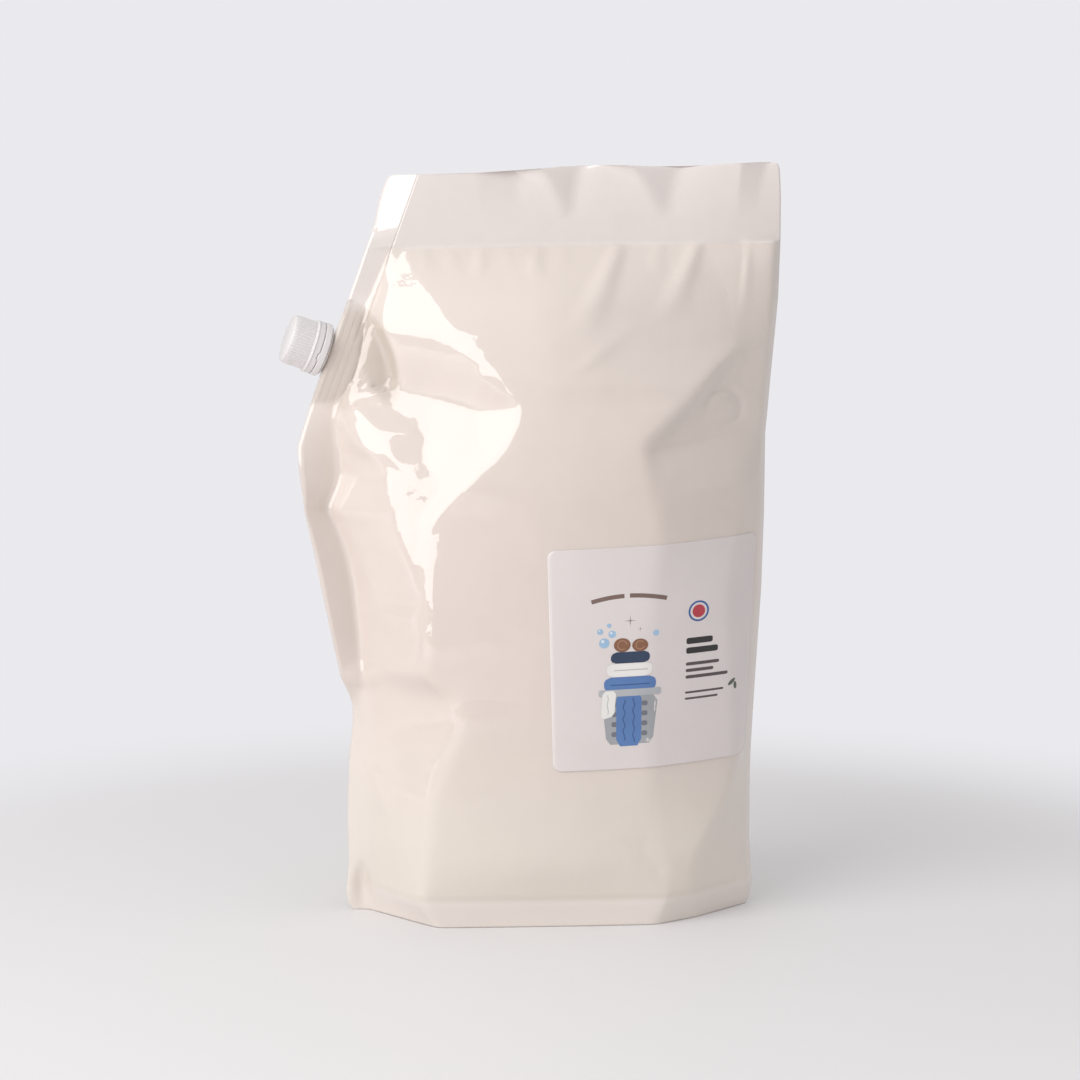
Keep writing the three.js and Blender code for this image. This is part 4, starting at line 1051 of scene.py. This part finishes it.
def crease_relief_and_shade(made, height):
    """The thin fold line inside the slanted seal and the boat's ribs that press through the film: their
    bump, and painted shade in the colour along them
    """
    inside = node(made, "ShaderNodeVectorMath", operation="DOT_PRODUCT")
    link(made, place_of(made), inside.inputs[0])
    inside.inputs[1].default_value = (SLANT[1], 0, -SLANT[0])
    depth = inside.outputs["Value"]
    start = (SLANT_LOW[0] * SLANT[1] - SLANT_LOW[1] * SLANT[0]) * MM
    line = peak(made, depth, start + SEAL_LINE * MM, SEAL_LINE_WIDTH * MM)
    above = arithmetic(made, "GREATER_THAN", height, SEAL_LINE_FROM * MM)
    line = product(made, line, above)
    line = product(made, line, 0.5)
    outer = arithmetic(made, "LESS_THAN", depth, start + (BOAT_DEPTH + 2) * MM)
    boat = product(made, attribute(made, "weld"), outer)
    ribs = product(made, depth, 2 * math.pi / (WELD_RIB_PITCH * MM))
    ribs = product(made, arithmetic(made, "SINE", ribs), boat)
    return arithmetic(made, "MAXIMUM", line, product(made, ribs, WELD_RIB))


def film_material():
    made, shader = material("film_gloss", 0.5, coat=1.0, coat_roughness=0.02, specular=0.15)
    shader.inputs["Coat IOR"].default_value = FILM_COAT_IOR
    place = node(made, "ShaderNodeSeparateXYZ")
    link(made, place_of(made), place.inputs["Vector"])
    colour = film_colour(made, place.outputs["Z"])
    creases_and_shade = crease_relief_and_shade(made, place.outputs["Z"])
    # painted shade along the seal's fold line and between the boat's ribs
    dark = mixed(made, creases_and_shade, (1.0, 1.0, 1.0), FILM_CREASE_SHADE)
    link(made, mixed(made, 1.0, colour, dark, "MULTIPLY"), shader.inputs["Base Color"])
    waves = noise_texture(made, 55.0, 1.0)
    grain = noise_texture(made, 190.0, 2.0)
    bump(made, shader, [(waves, 0.0005), (grain, 0.00006), (creases_and_shade, -0.0004)])
    return made


def tinted(name, colour, roughness, coat, grain, depth, spread=0.05):
    """Plain moulded or printed surface: one colour with a faint cloud, and a fine grain"""
    made, shader = material(name, roughness, coat=coat, coat_roughness=0.2)
    dark = tuple(c * (1 - spread) for c in colour)
    light = tuple(min(c * (1 + spread), 1) for c in colour)
    cloud = ramp(made, noise_texture(made, grain / 8), [(0.35, dark), (0.65, light)])
    link(made, cloud, shader.inputs["Base Color"])
    bump(made, shader, [(noise_texture(made, grain), depth)])
    return made


def ink(name, colour):
    return tinted("print_" + name + "_ink", colour, 0.45, 0.0, 400.0, 0.00001)


def plastic(name, colour):
    return tinted(name, colour, 0.34, 0.2, 500.0, 0.00002, 0.015)


# Light, floor and camera

FOCAL_PX = 3077
IMAGE_PX = 1080
SENSOR_MM = 36
CAMERA_PLACE = (-0.1164, -1.5958, 0.385)
CAMERA_DOWN = 6.75
CAMERA_TURN = -4.0
SOFTBOX_AZIMUTH = (26, 72)
SOFTBOX_HEIGHT = (0, 53)
SOFTBOX_AWAY = 1.6
SOFTBOX_RADIANCE = 2.6
SOFTBOX_TARGET = (-0.05, -0.04, 0.22)
FILL_LEVEL = 0.50
FILL_ABOVE = 0.34
ROOM = (0.985, 0.99, 1.0)
BACKDROP = (0.825, 0.82, 0.85)
FLOOR = (0.81, 0.79, 0.79)
FLOOR_HALF = 4.0
FLOOR_FADE = (0.28, 0.62)


def make_camera():
    data = bpy.data.cameras.new("camera")
    data.sensor_width = SENSOR_MM
    data.lens = FOCAL_PX / IMAGE_PX * SENSOR_MM
    camera = bpy.data.objects.new("camera", data)
    camera.location = CAMERA_PLACE
    camera.rotation_euler = (math.radians(90 - CAMERA_DOWN), 0, math.radians(CAMERA_TURN))
    bpy.context.scene.collection.objects.link(camera)
    bpy.context.scene.camera = camera


def softbox_side(angles):
    return 2 * SOFTBOX_AWAY * math.tan(math.radians(angles[1] - angles[0]) / 2)


def make_softbox():
    """One tall softbox to the left, seen in every fold of the film that faces it"""
    azimuth = math.radians(sum(SOFTBOX_AZIMUTH) / 2)
    height = math.radians(sum(SOFTBOX_HEIGHT) / 2)
    level = math.cos(height)
    towards = Vector((-math.sin(azimuth) * level, -math.cos(azimuth) * level, math.sin(height)))
    wide, tall = softbox_side(SOFTBOX_AZIMUTH), softbox_side(SOFTBOX_HEIGHT)
    data = bpy.data.lights.new("softbox", "AREA")
    data.shape = "RECTANGLE"
    data.size, data.size_y = wide, tall
    data.energy = SOFTBOX_RADIANCE * math.pi * wide * tall
    light = bpy.data.objects.new("softbox", data)
    light.location = Vector(SOFTBOX_TARGET) + towards * SOFTBOX_AWAY
    light.rotation_euler = (-towards).to_track_quat("-Z", "Y").to_euler()
    bpy.context.scene.collection.objects.link(light)


def seen_by_camera(made, real, seen, share=1.0):
    """One shader for the light and another for what the camera sees, by a share of it"""
    path = node(made, "ShaderNodeLightPath")
    mix = node(made, "ShaderNodeMixShader")
    link(made, product(made, path.outputs["Is Camera Ray"], share), mix.inputs["Fac"])
    link(made, real.outputs[0], mix.inputs[1])
    link(made, seen.outputs[0], mix.inputs[2])
    return mix.outputs[0]


def make_world():
    """A pale room, brighter above; the camera sees an even backdrop"""
    world = bpy.data.worlds.new("studio")
    bpy.context.scene.world = world
    world.use_nodes = True
    world.node_tree.nodes.clear()
    split = node(world, "ShaderNodeSeparateXYZ")
    link(world, node(world, "ShaderNodeTexCoord").outputs["Generated"], split.inputs["Vector"])
    above = product(world, split.outputs["Z"], FILL_ABOVE)
    room = node(world, "ShaderNodeBackground", Color=(*ROOM, 1))
    link(world, arithmetic(world, "ADD", above, FILL_LEVEL), room.inputs["Strength"])
    seen = node(world, "ShaderNodeBackground", Color=(*BACKDROP, 1))
    out = node(world, "ShaderNodeOutputWorld")
    link(world, seen_by_camera(world, room, seen), out.inputs["Surface"])


def floor_material():
    """Pale paper that fades into the backdrop away from the pouch"""
    made, shader = material("floor_paper", 0.55, specular=0.3)
    shader.inputs["Base Color"].default_value = (*FLOOR, 1)
    distance = node(made, "ShaderNodeVectorMath", operation="LENGTH")
    link(made, place_of(made), distance.inputs[0])
    fade = node(made, "ShaderNodeMapRange", interpolation_type="SMOOTHERSTEP")
    fade.inputs["From Min"].default_value = FLOOR_FADE[0]
    fade.inputs["From Max"].default_value = FLOOR_FADE[1]
    link(made, distance.outputs["Value"], fade.inputs["Value"])
    far = node(made, "ShaderNodeEmission", Color=(*BACKDROP, 1))
    output = made.node_tree.nodes["Material Output"]
    link(made, seen_by_camera(made, shader, far, fade.outputs["Result"]), output.inputs["Surface"])
    return made


def make_floor():
    half = FLOOR_HALF
    corners = [(-half, -half, 0), (half, -half, 0), (half, half, 0), (-half, half, 0)]
    new_piece("floor", corners, [(0, 1, 2, 3)], floor_material(), body=None, flat=True)


bpy.context.scene.view_settings.view_transform = "Standard"
make_camera()
make_softbox()
make_world()
make_floor()

LEVELS = film_levels()
FRONT = np.array([film_row(1, FRONT_FOLDS, FRONT_ROUND, FRONT_COLUMNS, z) for z in LEVELS])
BACK = np.array([film_row(-1, BACK_FOLDS, BACK_ROUND, BACK_COLUMNS, z) for z in LEVELS])
make_pouch(FRONT, BACK, film_material())
make_label(tinted("label_film_paper", LABEL_TINT, 0.42, 0.25, 300.0, 0.00001, 0.012))
make_print()
make_spout(plastic("spout_plastic", SPOUT_TINT))
cap_plastic = plastic("moulded_plastic", CAP_TINT)
make_band(cap_plastic)
make_cap(cap_plastic)
liner = bpy.data.objects["cap_liner"]
liner.data.materials.clear()
liner.data.materials.append(tinted("liner_foam", LINER_TINT, 0.7, 0.0, 900.0, 0.00005))
